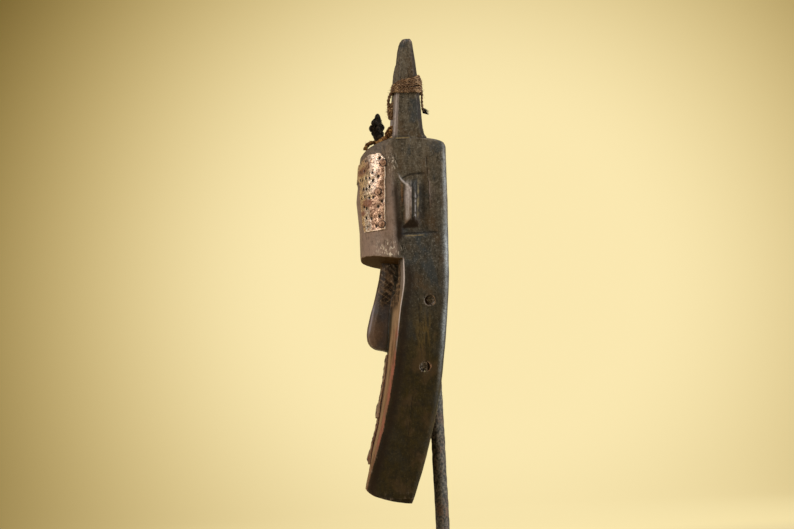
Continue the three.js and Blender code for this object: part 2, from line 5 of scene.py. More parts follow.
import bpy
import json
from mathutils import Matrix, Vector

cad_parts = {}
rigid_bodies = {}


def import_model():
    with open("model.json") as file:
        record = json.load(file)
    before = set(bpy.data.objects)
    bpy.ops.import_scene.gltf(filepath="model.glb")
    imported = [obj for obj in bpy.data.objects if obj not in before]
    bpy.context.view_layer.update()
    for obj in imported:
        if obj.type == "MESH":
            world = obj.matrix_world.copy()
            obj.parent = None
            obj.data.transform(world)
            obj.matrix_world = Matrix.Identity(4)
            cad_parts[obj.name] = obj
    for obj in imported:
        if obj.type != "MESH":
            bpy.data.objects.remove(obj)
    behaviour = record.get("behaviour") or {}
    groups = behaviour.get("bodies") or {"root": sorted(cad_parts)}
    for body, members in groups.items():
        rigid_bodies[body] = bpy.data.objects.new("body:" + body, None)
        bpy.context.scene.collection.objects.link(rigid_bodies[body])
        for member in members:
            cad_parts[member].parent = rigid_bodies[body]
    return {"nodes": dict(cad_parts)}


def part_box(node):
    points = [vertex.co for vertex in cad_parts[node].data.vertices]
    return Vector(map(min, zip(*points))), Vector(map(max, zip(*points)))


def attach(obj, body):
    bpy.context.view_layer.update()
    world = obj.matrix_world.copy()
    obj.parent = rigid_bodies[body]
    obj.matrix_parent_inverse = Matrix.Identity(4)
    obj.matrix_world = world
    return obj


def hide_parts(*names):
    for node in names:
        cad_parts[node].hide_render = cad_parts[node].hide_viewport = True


bl_info = {
    "name": "Toma Mask",
    "version": (1, 0, 0),
    "blender": (4, 5, 0),
    "location": "View3D > Sidebar > Toma Mask",
    "description": "Builds a carved mask with its sheet metal, cord and stand, piece by piece",
    "category": "Object",
}

import json
import math
from contextlib import contextmanager
from itertools import product

import bpy
import numpy as np
from bpy.props import FloatProperty, FloatVectorProperty, IntProperty, PointerProperty
from bpy.types import Operator, Panel, PropertyGroup
from mathutils import Matrix, Vector

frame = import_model()

MM = 0.001
BODY = "root"
BROW = np.array([0.0, -6.2, 390.0])
# Radians in a whole turn, and in about one, for turns that are drawn by chance
ROUND = 2 * math.pi
ABOUT_ROUND = 6.28

# Depths of the side view and widths of the front view, as (height over the brow, value)
BACK_EDGE = [(-290, -4), (-274, 2), (-240, 14.2), (-190, 29.4), (-139, 41.2), (-80, 49.4), (-20, 55.5),
             (60, 58.2), (124, 59.8), (129, 57.8), (132, 52), (134.5, 42), (137.5, 24)]
FRONT_EDGE = [(-290, -54), (-262, -50.5), (-213, -35), (-185, -26.5), (-130, -13.5), (-59, -2),
              (-20, 4.6), (20, 5), (130, 8.5)]
FACE_RISE = [(-290, 0.2), (-262, 0.4), (-237, 1.8), (-205, 6.4), (-183, 6.2), (-160, 8.4), (-104, 8),
             (-55, 10.5)]
HALF_WIDTH = [(-290, 42), (-262, 44), (-213, 54), (-130, 65.5), (-60, 72), (0, 75), (120, 75),
              (133, 73.8), (137.5, 71)]
BLOCK_FRONT = [(-6, -41), (12, -42.2), (40, -41.7), (60, -42.5), (75, -43.5), (88, -41.6), (98, -39.8),
               (108, -38.6), (118, -37.6), (124, -36.4), (130, -31.2), (134.5, -22.4), (137.5, -9.5)]
HORN_FRONT = [(130, 0.4), (151, 1.6), (169, 3.1), (194, 5.8), (230, 9.6), (242, 12), (248.2, 15),
              (250.4, 17.2)]
HORN_BACK = [(130, 46), (135, 40), (139, 36.6), (146, 35.3), (192, 33.4), (227, 30.9), (241, 29.6),
             (248.2, 28.4), (250.4, 26.6)]
HORN_OUTER = [(130, 74), (150, 73), (195, 70.5), (238, 66.5), (247, 65.4), (250.4, 63.4)]
HORN_INNER = [(130, 40), (150, 44), (195, 50), (238, 54), (247, 55.4), (250.4, 57.5)]
HOLLOW_FRONT = [(-256, -30), (-230, -27), (-185, -12), (-130, 1), (-80, 7), (-45, 14), (-20, 17.5),
                (0, 10), (22, -6), (55, -16), (90, -15), (106, -6)]
BLOCK_HALF = 74.6
BLOCK_ROUNDNESS = 2.7
RIM_WIDTH = 4.0
RIM_RISE = 2.5
FIT = 0.3
SHEET = 1.2
RIGHT_HORN_FORWARD = 0.8
# How far the rounded tips of the horns are lifted, so that wear doesn't shorten them
HORN_LIFT = 1.1

# The plate on the forehead block: half its flat width, and its height
PLATE_HALF = 95.0
PLATE_LOW, PLATE_HIGH = 33.0, 120.0
PLATE_TALL = PLATE_HIGH - PLATE_LOW
# The wall of the hollow back, and how far the hollow reaches down and up
WALL = 7.5
HOLLOW_LOW, HOLLOW_HIGH = -258, 108


# Numbers

def along(stations, height):
    """The value at each height on a smooth curve through the stations, level beyond its ends."""
    place, value = np.array(stations, float).T
    span = np.diff(place)
    grade = np.diff(value) / span
    slope = np.zeros(len(place))
    before, after = grade[:-1], grade[1:]
    steady = before * after > 0
    slope[1:-1][steady] = 2 * before[steady] * after[steady] / (before + after)[steady]
    height = np.clip(np.asarray(height, float), place[0], place[-1])
    i = np.clip(np.searchsorted(place, height, side="right") - 1, 0, len(span) - 1)
    t = (height - place[i]) / span[i]
    even = (1 + 2 * t) * (1 - t) ** 2 * value[i] + t * t * (3 - 2 * t) * value[i + 1]
    return even + span[i] * (t * (1 - t) ** 2 * slope[i] - t * t * (1 - t) * slope[i + 1])


def rising(value, low, high):
    """Goes smoothly from 0 at low to 1 at high."""
    t = np.clip((np.asarray(value, float) - low) / (high - low), 0, 1)
    return t * t * (3 - 2 * t)


def hump(value, middle, width):
    """A soft hump, 1 at the middle."""
    return np.exp(-((np.asarray(value, float) - middle) / width) ** 2)


def scatter(cells, seed):
    """A repeatable number from 0 to 1 for every whole-numbered place."""
    mixed = (cells[:, 0] * 374761393 + cells[:, 1] * 668265263 + cells[:, 2] * 1440662683
             + seed * 1274126177) & 0xFFFFFFFF
    mixed = ((mixed ^ (mixed >> 13)) * 1274126177) & 0xFFFFFFFF
    mixed = ((mixed ^ (mixed >> 15)) * 668265263) & 0xFFFFFFFF
    return ((mixed ^ (mixed >> 16)) & 0xFFFFFF) / 0xFFFFFF


def drawn(count, seed):
    """Repeatable numbers from 0 to 1."""
    cells = np.zeros((count, 3), np.int64)
    cells[:, 0] = np.arange(count)
    return scatter(cells, seed)


def waves(points, size, seed=0):
    """Smooth noise from -1 to 1, with bumps as large as size."""
    scaled = points / np.asarray(size, float)
    cell = np.floor(scaled).astype(np.int64)
    part = scaled - cell
    part = part * part * (3 - 2 * part)
    total = np.zeros(len(points))
    for corner in product((0, 1), repeat=3):
        weight = np.prod(np.where(np.array(corner) == 1, part, 1 - part), axis=1)
        total += weight * scatter(cell + np.array(corner), seed)
    return 2 * total - 1


def rough(points, size, seed=0):
    """Noise in three sizes, each half as large as the one before."""
    size = np.asarray(size, float)
    return (waves(points, size, seed) + 0.5 * waves(points, size / 2.03, seed + 11)
            + 0.25 * waves(points, size / 4.07, seed + 23)) / 1.4


def cuts(points, size, seed=0):
    """Squared distance to the nearest of many scattered middles, as neighbouring tool cuts have."""
    scaled = points / np.asarray(size, float)
    cell = np.floor(scaled).astype(np.int64)
    nearest = np.full(len(points), 9.0)
    for step in product((-1, 0, 1), repeat=3):
        other = cell + np.array(step)
        middle = other + np.stack([scatter(other, seed + 7 * k) for k in range(3)], axis=1)
        nearest = np.minimum(nearest, ((scaled - middle) ** 2).sum(axis=1))
    return nearest


def over(value, low, full, falling, high):
    """Rises from 0 at low to 1 at full, and falls from 1 to 0 again between the last two."""
    return rising(value, low, full) * rising(value, high, falling)


def unsteady(points, size, seed, axes=3):
    """Smooth noise along several axes, each for itself."""
    return np.stack([waves(points, size, seed + k) for k in range(axes)], axis=1)


def on_a_line(place, row=0):
    """Points for noise that changes along one way only."""
    return np.stack([place, 0 * place + row, 0 * place], axis=1)


def way_along(path):
    """How far along the path each of its points is."""
    return np.concatenate([[0], np.cumsum(np.linalg.norm(np.diff(path, axis=0), axis=1))])


def to_mask(points):
    """Metres over the foot, as millimetres from the brow."""
    return points / MM - BROW


def from_mask(points):
    """Millimetres from the brow, as metres over the foot."""
    return (np.asarray(points, float) + BROW) * MM


def face_depth(x, z):
    """Depth of the convex face, with its raised rim along both sides."""
    half = along(HALF_WIDTH, z)
    rise = along(FACE_RISE, z)
    bevel = np.minimum(RIM_RISE, rise / 2)
    inner = half - RIM_WIDTH
    edge = along(FRONT_EDGE, z)
    rim = edge - bevel * (half - np.abs(x)) / RIM_WIDTH
    return np.where(np.abs(x) >= inner, rim, edge - bevel - (rise - bevel) * (1 - (x / inner) ** 2))


# Meshes

def deselect():
    if bpy.context.object and bpy.context.object.mode != "OBJECT":
        bpy.ops.object.mode_set(mode="OBJECT")
    bpy.ops.object.select_all(action="DESELECT")


def choose(piece):
    deselect()
    piece.select_set(True)
    bpy.context.view_layer.objects.active = piece


def named(name):
    """Gives the piece that was just added its name."""
    piece = bpy.context.object
    piece.name = name
    piece.data.name = name
    return piece


def added(name, operator, **settings):
    """Adds a primitive with nothing else selected, and names it."""
    deselect()
    operator(**settings)
    return named(name)


@contextmanager
def editing(piece, everything=True):
    """Shapes a piece in edit mode, with all of it selected or with the selection as it is."""
    choose(piece)
    bpy.ops.object.mode_set(mode="EDIT")
    if everything:
        bpy.ops.mesh.select_all(action="SELECT")
    yield
    bpy.ops.object.mode_set(mode="OBJECT")


def extruded(rise):
    """Extrudes the selection upwards, in metres."""
    bpy.ops.mesh.extrude_region_move(TRANSFORM_OT_translate={"value": (0, 0, rise)})


def facing_out():
    """Turns all faces of the piece that is being edited outwards."""
    bpy.ops.mesh.select_all(action="SELECT")
    bpy.ops.mesh.normals_make_consistent(inside=False)


def placed(piece):
    """Moves a piece's place, turn and size into its mesh."""
    choose(piece)
    bpy.ops.object.transform_apply(location=True, rotation=True, scale=True)


def joined(pieces, name):
    deselect()
    for piece in pieces:
        piece.select_set(True)
    bpy.context.view_layer.objects.active = pieces[0]
    bpy.ops.object.join()
    return named(name)


def copied(piece, name):
    other = piece.copy()
    other.data = piece.data.copy()
    other.name = name
    other.data.name = name
    bpy.context.scene.collection.objects.link(other)
    return other


def dropped(piece):
    choose(piece)
    bpy.ops.object.delete()


def refined(piece, kind, **settings):
    """Adds a modifier and applies it."""
    choose(piece)
    modifier = piece.modifiers.new(kind.title(), kind)
    for key, value in settings.items():
        setattr(modifier, key, value)
    bpy.ops.object.modifier_apply(modifier=modifier.name)


def points_of(piece):
    flat = np.empty(len(piece.data.vertices) * 3)
    piece.data.vertices.foreach_get("co", flat)
    return flat.reshape(-1, 3)


def normals_of(piece):
    flat = np.empty(len(piece.data.vertices) * 3)
    piece.data.vertex_normals.foreach_get("vector", flat)
    return flat.reshape(-1, 3)


def reshape(piece, points):
    piece.data.vertices.foreach_set("co", np.ascontiguousarray(points, float).ravel())
    piece.data.update()


def mark(piece, **marks):
    """Keeps a number or a direction for each point under a name, which the finish reads."""
    for name, values in marks.items():
        values = np.ascontiguousarray(values, float)
        kind, key = ("FLOAT", "value") if values.ndim == 1 else ("FLOAT_VECTOR", "vector")
        layer = piece.data.attributes.new(name, kind, "POINT")
        layer.data.foreach_set(key, values.ravel())


def solid_box(node):
    """The lowest and highest corners of a plain solid, in millimetres."""
    return [np.array(corner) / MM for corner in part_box(node)]


def pick_edges(piece, chosen):
    """Selects the edges whose two ends pass a test, and no others."""
    at = points_of(piece)
    for edge in piece.data.edges:
        edge.select = bool(chosen(*(at[v] for v in edge.vertices)))


def cut_away(piece, tool):
    """Takes a closed shape out of the piece, and drops the shape."""
    refined(piece, "BOOLEAN", object=tool, operation="DIFFERENCE", solver="EXACT")
    dropped(tool)


def evened(piece, points, rounds):
    """The points after some rounds in which each is drawn towards its neighbours."""
    edges = np.empty(len(piece.data.edges) * 2, np.int64)
    piece.data.edges.foreach_get("vertices", edges)
    near, far = edges.reshape(-1, 2).T
    count = np.bincount(near, minlength=len(points)) + np.bincount(far, minlength=len(points))
    smooth = points.copy()
    for _ in range(rounds):
        total = np.stack([np.bincount(near, smooth[far, k], len(points))
                          + np.bincount(far, smooth[near, k], len(points)) for k in range(3)], axis=1)
        smooth = 0.5 * smooth + 0.5 * total / count[:, None]
    return smooth


def standing_out(piece, rounds):
    """How far each point stands out from its surroundings in millimetres, below 0 in a corner."""
    points = points_of(piece) / MM
    return ((points - evened(piece, points, rounds)) * normals_of(piece)).sum(axis=1)


def smoothed(piece, angle=None):
    choose(piece)
    if angle is None:
        bpy.ops.object.shade_smooth()
    else:
        bpy.ops.object.shade_smooth_by_angle(angle=math.radians(angle))


def finished(piece, material, slot, *nodes):
    """Dresses a piece, and has it ride with the part in place of its plain solids."""
    piece.data.materials.clear()
    piece.data.materials.append(material)
    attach(piece, BODY)
    if nodes:
        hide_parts(*nodes)


# Finishes

class Field:
    """A value or colour on a surface, which is worked with like a number."""

    def __init__(self, finish, socket):
        self.finish = finish
        self.socket = socket

    def _worked(self, operation, *values):
        return self.finish.node("ShaderNodeMath", {"operation": operation}, *values)

    def __add__(self, other):
        return self._worked("ADD", self, other)

    __radd__ = __add__

    def __sub__(self, other):
        return self._worked("SUBTRACT", self, other)

    def __rsub__(self, other):
        return self._worked("SUBTRACT", other, self)

    def __mul__(self, other):
        return self._worked("MULTIPLY", self, other)

    __rmul__ = __mul__

    def __pow__(self, other):
        return self._worked("POWER", self, other)

    def between(self, low, high):
        """Goes smoothly from 0 at low to 1 at high, or the other way where low is the larger."""
        return self.finish.node("ShaderNodeMapRange", {"interpolation_type": "SMOOTHSTEP"},
                                self, low, high, 0.0, 1.0)

    def over(self, low, full, falling, high):
        """Rises from 0 at low to 1 at full, and falls from 1 to 0 again between the last two."""
        return self.between(low, full) * self.between(high, falling)

    def near(self, middle, width):
        """1 at the middle, 0 from a width away."""
        return self._worked("ABSOLUTE", self - middle).between(width, 0.0)


class Finish:
    """A material that is built from places, noise and marks on the piece."""

    def __init__(self, name, constants):
        self.material = bpy.data.materials.new(name)
        self.material.use_nodes = True
        self.tree = self.material.node_tree
        self.shader = next(n for n in self.tree.nodes if n.type == "BSDF_PRINCIPLED")
        self.coat = None
        for socket, value in constants.items():
            self.shader.inputs[socket].default_value = value

    def node(self, kind, settings=None, *values, out=0, **named_values):
        """Adds a node, sets it up, then gives its sockets their values or links."""
        made = self.tree.nodes.new(kind)
        for key, value in (settings or {}).items():
            setattr(made, key, value)
        for place, value in [*enumerate(values), *named_values.items()]:
            if isinstance(value, Field):
                self.tree.links.new(value.socket, made.inputs[place])
            elif value is not None:
                made.inputs[place].default_value = value
        return Field(self, made.outputs[out])

    def place(self, stretch=(1, 1, 1)):
        """The place on the piece in millimetres, pressed or stretched along each axis."""
        seat = self.node("ShaderNodeTexCoord", out="Object")
        scale = tuple(s / MM for s in stretch)
        return self.node("ShaderNodeVectorMath", {"operation": "MULTIPLY"}, seat, scale)

    def axis(self, which):
        """One coordinate, in millimetres over the foot."""
        return self.node("ShaderNodeSeparateXYZ", None, self.place(), out=which)

    def from_side(self, y, z):
        """How far the surface is from a line through the piece, seen from the side."""
        return self.node("ShaderNodeVectorMath", {"operation": "DISTANCE"}, self.place((0, 1, 1)),
                         (0, y, z), out="Value")

    def noise(self, size, detail=3.0, roughness=0.55, stretch=(1, 1, 1), where=None):
        """Noise from 0 to 1, with bumps of a size in millimetres."""
        return self.node("ShaderNodeTexNoise", None, Vector=where or self.place(stretch),
                         Scale=1.0 / size, Detail=detail, Roughness=roughness)

    def marked(self, name, out="Fac"):
        return self.node("ShaderNodeAttribute", {"attribute_name": name}, out=out)

    def mix(self, share, below, above):
        """Goes from one colour to another by a share from 0 to 1."""
        ends = [end if isinstance(end, Field) else (*end, 1.0) for end in (below, above)]
        return self.node("ShaderNodeMix", {"data_type": "RGBA"}, share, *[None] * 5, *ends, out=2)

    def blend(self, share, below, above):
        """The same for plain numbers."""
        return self.node("ShaderNodeMix", {"data_type": "FLOAT"}, share, None, below, above)

    def paint(self, share, above):
        """Lays a colour over the coat that is there, by a share from 0 to 1."""
        self.coat = self.mix(share, self.coat, above)

    def bump(self, height, depth):
        """Raises the surface by height times a depth in millimetres."""
        return self.node("ShaderNodeBump", None, Strength=1.0, Distance=depth * MM, Height=height)

    def dressed(self, **sockets):
        """Links the coat, and what else changes over the surface, to the shader."""
        for socket, field in {"base_color": self.coat, **sockets}.items():
            self.tree.links.new(field.socket, self.shader.inputs[socket.replace("_", " ").title()])
        return self.material


# Settings

def length(name, description, default):
    return FloatProperty(name=name, description=description, default=default, unit="LENGTH", precision=5)


def angle(name, description, degrees):
    return FloatProperty(name=name, description=description, default=math.radians(degrees),
                         subtype="ANGLE")


def power(name, description, watts):
    return FloatProperty(name=name, description=description, default=watts, unit="POWER")


def tint(name, description, red, green, blue):
    return FloatVectorProperty(name=name, description=description, default=(red, green, blue),
                               subtype="COLOR", min=0.0, max=1.0)


class StageSettings(PropertyGroup):
    focal_length: FloatProperty(
        name="Focal length", description="Focal length of the camera", default=83.43, unit="CAMERA")
    distance: length("Distance", "Distance from the camera to its target", 2.135)
    azimuth: angle("Azimuth", "Where the camera stands, turned from the front", 88)
    elevation: angle("Elevation", "How far the camera stands over its target", -5.8)
    roll: angle("Roll", "How far the camera is turned about its view", 3.1)
    bowl_radius: length("Backdrop radius", "Radius of the floor and its rising edge", 4.4)
    paper: tint("Paper", "Colour of the floor and backdrop", 0.42, 0.36, 0.25)
    dim: tint("Dim paper", "Colour of the backdrop behind the mask", 0.11, 0.070, 0.010)
    lit: tint("Lit backdrop", "Light that the backdrop gives behind the mask", 0.89, 0.765, 0.43)
    edge: tint("Light's edge", "Colour of the light at the edge of the pool", 0.86, 0.60, 0.15)
    unlit: tint("Unlit backdrop", "Light that the rest of the backdrop gives", 0.20, 0.155, 0.085)
    key_power: power("Key light", "Power of the large light in front", 42.0)
    rim_power: power("Rim light", "Power of the cool light behind", 70.0)
    top_power: power("Top light", "Power of the soft light overhead", 14.0)


class WoodSettings(PropertyGroup):
    grid: length("Carving grid", "Spacing of the points that the carving is cut in", 1.05 * MM)
    faces: IntProperty(
        name="Faces", description="Triangles of the finished carving", default=190000)
    cut_depth: length("Tool cuts", "Depth of the tool cuts on the outside", 0.32 * MM)
    hollow_cut_depth: length("Hollow's tool cuts", "Depth of the tool cuts in the hollow", 1.0 * MM)
    dark: tint("Dark wood", "Deepest colour of the smoked wood", 0.008, 0.0065, 0.004)
    brown: tint("Brown wood", "Usual colour of the wood", 0.068, 0.058, 0.045)
    low: tint("Lower wood", "Colour of the wood near the chin", 0.029, 0.019, 0.003)
    high: tint("Upper wood", "Colour of the crown and horns", 0.114, 0.091, 0.063)
    worn: tint("Worn wood", "Colour of rubbed edges", 0.42, 0.31, 0.24)
    pigment: tint("Red earth", "Colour that is rubbed into the rims", 0.24, 0.090, 0.058)


class MetalSettings(PropertyGroup):
    sheet: tint("Sheet", "Colour of the rubbed sheet", 0.78, 0.71, 0.62)
    rust: tint("Rust", "Colour of rust", 0.16, 0.055, 0.025)
    iron: tint("Iron", "Colour of the stand", 0.015, 0.012, 0.008)
    nail: tint("Nail", "Colour of the nail heads", 0.085, 0.040, 0.022)
    plate_grid: length("Sheet grid", "Spacing of the points in the sheet", 1.4 * MM)


class FibreSettings(PropertyGroup):
    cord: tint("Cord", "Colour of the cord on the horns", 0.240, 0.135, 0.070)
    rope: tint("Rope", "Colour of the rope on the crown", 0.22, 0.095, 0.030)
    tuft: tint("Tuft", "Colour of the matted fibre", 0.009, 0.006, 0.003)
    cord_thickness: length("Cord", "Thickness of the cord on the horns", 3.6 * MM)
    rope_thickness: length("Rope", "Thickness of the rope on the crown", 6.6 * MM)
    hairs: IntProperty(name="Hairs", description="Loose fibres of the tuft", default=230)


# The wooden mask

def inside_hollow(p):
    """1 for points on the wall of the hollow back."""
    x, y, z = p.T
    within = np.abs(x) < along(HALF_WIDTH, z) - WALL
    behind = (y > along(HOLLOW_FRONT, z) - 1.6) & (y < along(BACK_EDGE, z) - 0.6)
    return (within & behind & (z > HOLLOW_LOW) & (z < HOLLOW_HIGH)).astype(float)


# Cracks along the grain, as (side, [(depth, height) from the top down], width, how deep)
SIDE_CRACKS = [
    (1, [(38, 118), (36.5, 96), (38, 70), (37, 52)], 0.75, 0.9),
    (1, [(21, -18), (19.5, -60), (17, -96)], 0.6, 0.6),
    (1, [(44, 8), (43, -26), (40.5, -58)], 0.55, 0.5),
    (1, [(8, -150), (3, -182), (-3, -214)], 0.6, 0.6),
    (1, [(22, 222), (21.5, 192), (20, 165)], 0.6, 0.55),
    (1, [(-11, 131), (-9.6, 116), (-9.3, 96)], 0.6, 0.9),
    (1, [(-6.5, 32), (-5.8, 4)], 0.5, 0.6),
    (1, [(-15, 28), (-15.6, 2)], 0.5, 0.55),
    (-1, [(30, 100), (32, 62), (31, 30)], 0.7, 0.8),
    (-1, [(28, -30), (25, -74), (20, -110)], 0.65, 0.7),
    (-1, [(2, -160), (-4, -196), (-14, -232)], 0.6, 0.6),
]


def crack_depth(p, normals):
    """How deep the cracks in both sides go at each point, in millimetres."""
    depth = np.zeros(len(p))
    drift = 1.1 * waves(p, 9, 301) + 0.4 * waves(p, 3, 302)
    fade = 9
    for side, path, width, deep in SIDE_CRACKS:
        place, height = np.array(path, float)[::-1].T
        middle = np.interp(p[:, 2], height, place)
        ends = (rising(p[:, 2], height[0], height[0] + fade)
                * rising(p[:, 2], height[-1], height[-1] - fade))
        away = np.abs(p[:, 1] + drift - middle)
        here = (normals[:, 0] * side > 0.6) * ends * np.clip(1 - away / width, 0, 1)
        depth = np.maximum(depth, deep * here)
    return depth


def round_back(p):
    """Moves points of the two long back edges in, to a soft edge."""
    x, y, z = p.T
    reach = 7.0
    near_back = np.clip(reach - (along(BACK_EDGE, z) - y), 0, reach)
    near_side = np.clip(reach - (along(HALF_WIDTH, z) - np.abs(x)), 0, reach)
    away = np.hypot(near_back, near_side)
    moved = np.clip(away - reach, 0, None) * (z < 136) / np.maximum(away, 0.01)
    x -= np.sign(x) * near_side * moved
    y -= near_back * moved


def soften_ears(piece, p):
    """Rounds the ears, most of all at their upper ends."""
    x, y, z = p.T
    ear = rising(np.abs(x), 70, 71) * rising(y, -3, 2) * rising(y, 54, 46) * rising(z, 14, 22)
    for rounds, top in ((14, rising(z, 108, 98)), (50, rising(z, 74, 84) * rising(z, 112, 100))):
        p += (evened(piece, p, rounds) - p) * (ear * top)[:, None]


# The curved edge over the ear, and the shadow over that, as (depth, height)
EAR_EDGE = [(2.6, 100), (4, 94.8), (7.8, 87.4), (12, 83.6), (15.4, 80), (17.4, 74)]
EAR_SHADOW = [(2, 86), (8, 89.7), (14.3, 92.4), (20.5, 94), (27.9, 94.3), (38, 93.6)]
# The ear leans back by this much for each millimetre over its middle
EAR_MIDDLE = 44
EAR_LEAN = 0.053
# A knot in the wood beside the nose, the dent below it, and a pit in the side of the horn
KNOT = (41, -10.5, -43.6)
DENT = (42, -14, -48.5)
HORN_PIT = (69, 25.7, 211.5)


def gouges(p):
    """Slanting gouge cuts beside the nose."""
    slanting = np.stack([p[:, 0], (p[:, 1] + p[:, 2]) * 0.7, (p[:, 2] - p[:, 1]) * 0.7], axis=1)
    return cuts(slanting, (6, 3.4, 13), 9)


def spot(p, middle, radius):
    """A soft round spot on both sides of the mask."""
    away = np.hypot(np.hypot(np.abs(p[:, 0]) - middle[0], p[:, 1] - middle[1]), p[:, 2] - middle[2])
    return np.exp(-(away / radius) ** 2)


def tool_work(p, normals, out, wood):
    """How far each point is moved out by tool cuts, wear, dents and cracks, in millimetres."""
    x, y, z = p.T
    hollow = inside_hollow(p)
    outside = 1 - hollow
    side = np.abs(normals[:, 0])
    covered = outside * ((z > PLATE_LOW - 2) & (z < PLATE_HIGH + 2) & (y < -8))
    strips = outside * ((np.abs(x) < 29) & (z > -230) & (z < -103) & (normals[:, 1] < -0.5))
    free = outside * (1 - np.maximum(covered, strips))
    cut = wood.cut_depth / MM
    deep = wood.hollow_cut_depth / MM

    move = 0.34 * rough(p, (34, 34, 60), 1) * outside
    move += 0.6 * rough(p, (26, 26, 40), 2) * hollow
    move += cut * (cuts(p, (8, 8, 36), 3) - 0.32) * free * rising(side, 0.3, 0.8)
    move += 1.1 * cut * (cuts(p, (9, 12, 17), 4) - 0.32) * free * rising(side, 0.8, 0.3)
    move += deep * (cuts(p, (12, 12, 26), 5) - 0.34) * hollow
    move += 0.10 * rough(p, (2.4, 2.4, 30), 6) * free
    chipped = np.clip(waves(p, 7, 7) - 0.1, 0, 1) + 0.6 * np.clip(waves(p, 3, 8) - 0.2, 0, 1)
    move -= 0.9 * chipped * np.clip(out - 0.25, 0, 1) * outside * (1 - covered)
    move -= 0.22 * np.clip(out, 0, 1.4) * outside * rising(z, 247, 241) * rising(z, -262, -250)

    # The grooves before the ear and round the horn's foot
    flank = rising(side, 0.5, 0.8) * outside
    move -= 1.0 * hump(y, 0.5, 3.4) * rising(z, 8, 22) * rising(z, 96, 74) * flank
    foot = rising(z, 134.2, 135.3) * rising(z, 158, 142) * rising(y, 3, 8) * rising(y, 35, 29)
    move -= 0.6 * foot * flank
    move -= 0.9 * spot(p, HORN_PIT, 0.9)
    move += 1.9 * spot(p, KNOT, 2.6) - 1.8 * spot(p, DENT, 1.9)
    move -= crack_depth(p, normals) * outside
    socket = (z < 2) * (z > -50) * (np.abs(x) > 12) * (np.abs(x) < 62) * (y < 9) * outside
    move += 1.3 * (gouges(p) - 0.32) * socket

    # The ear's edges and ridges, and the uneven back edge
    move += 0.6 * hump(z - along(EAR_EDGE, y), 0, 2.6) * rising(y, 2, 4) * rising(y, 17, 14) * flank
    move -= 0.8 * hump(z - along(EAR_SHADOW, y), 0, 2.2) * rising(y, 6, 9) * rising(y, 38, 28) * flank
    lean = y - EAR_LEAN * (z - EAR_MIDDLE)
    ridges = hump(lean, 18, 1.1) - 0.7 * hump(lean, 21, 1.2)
    move -= 0.7 * ridges * rising(z, 42, 48) * rising(z, 90, 80) * flank
    move += 0.22 * waves(p, 3.6, 10) * hump(y - along(BACK_EDGE, z), -4, 4) * flank
    return move


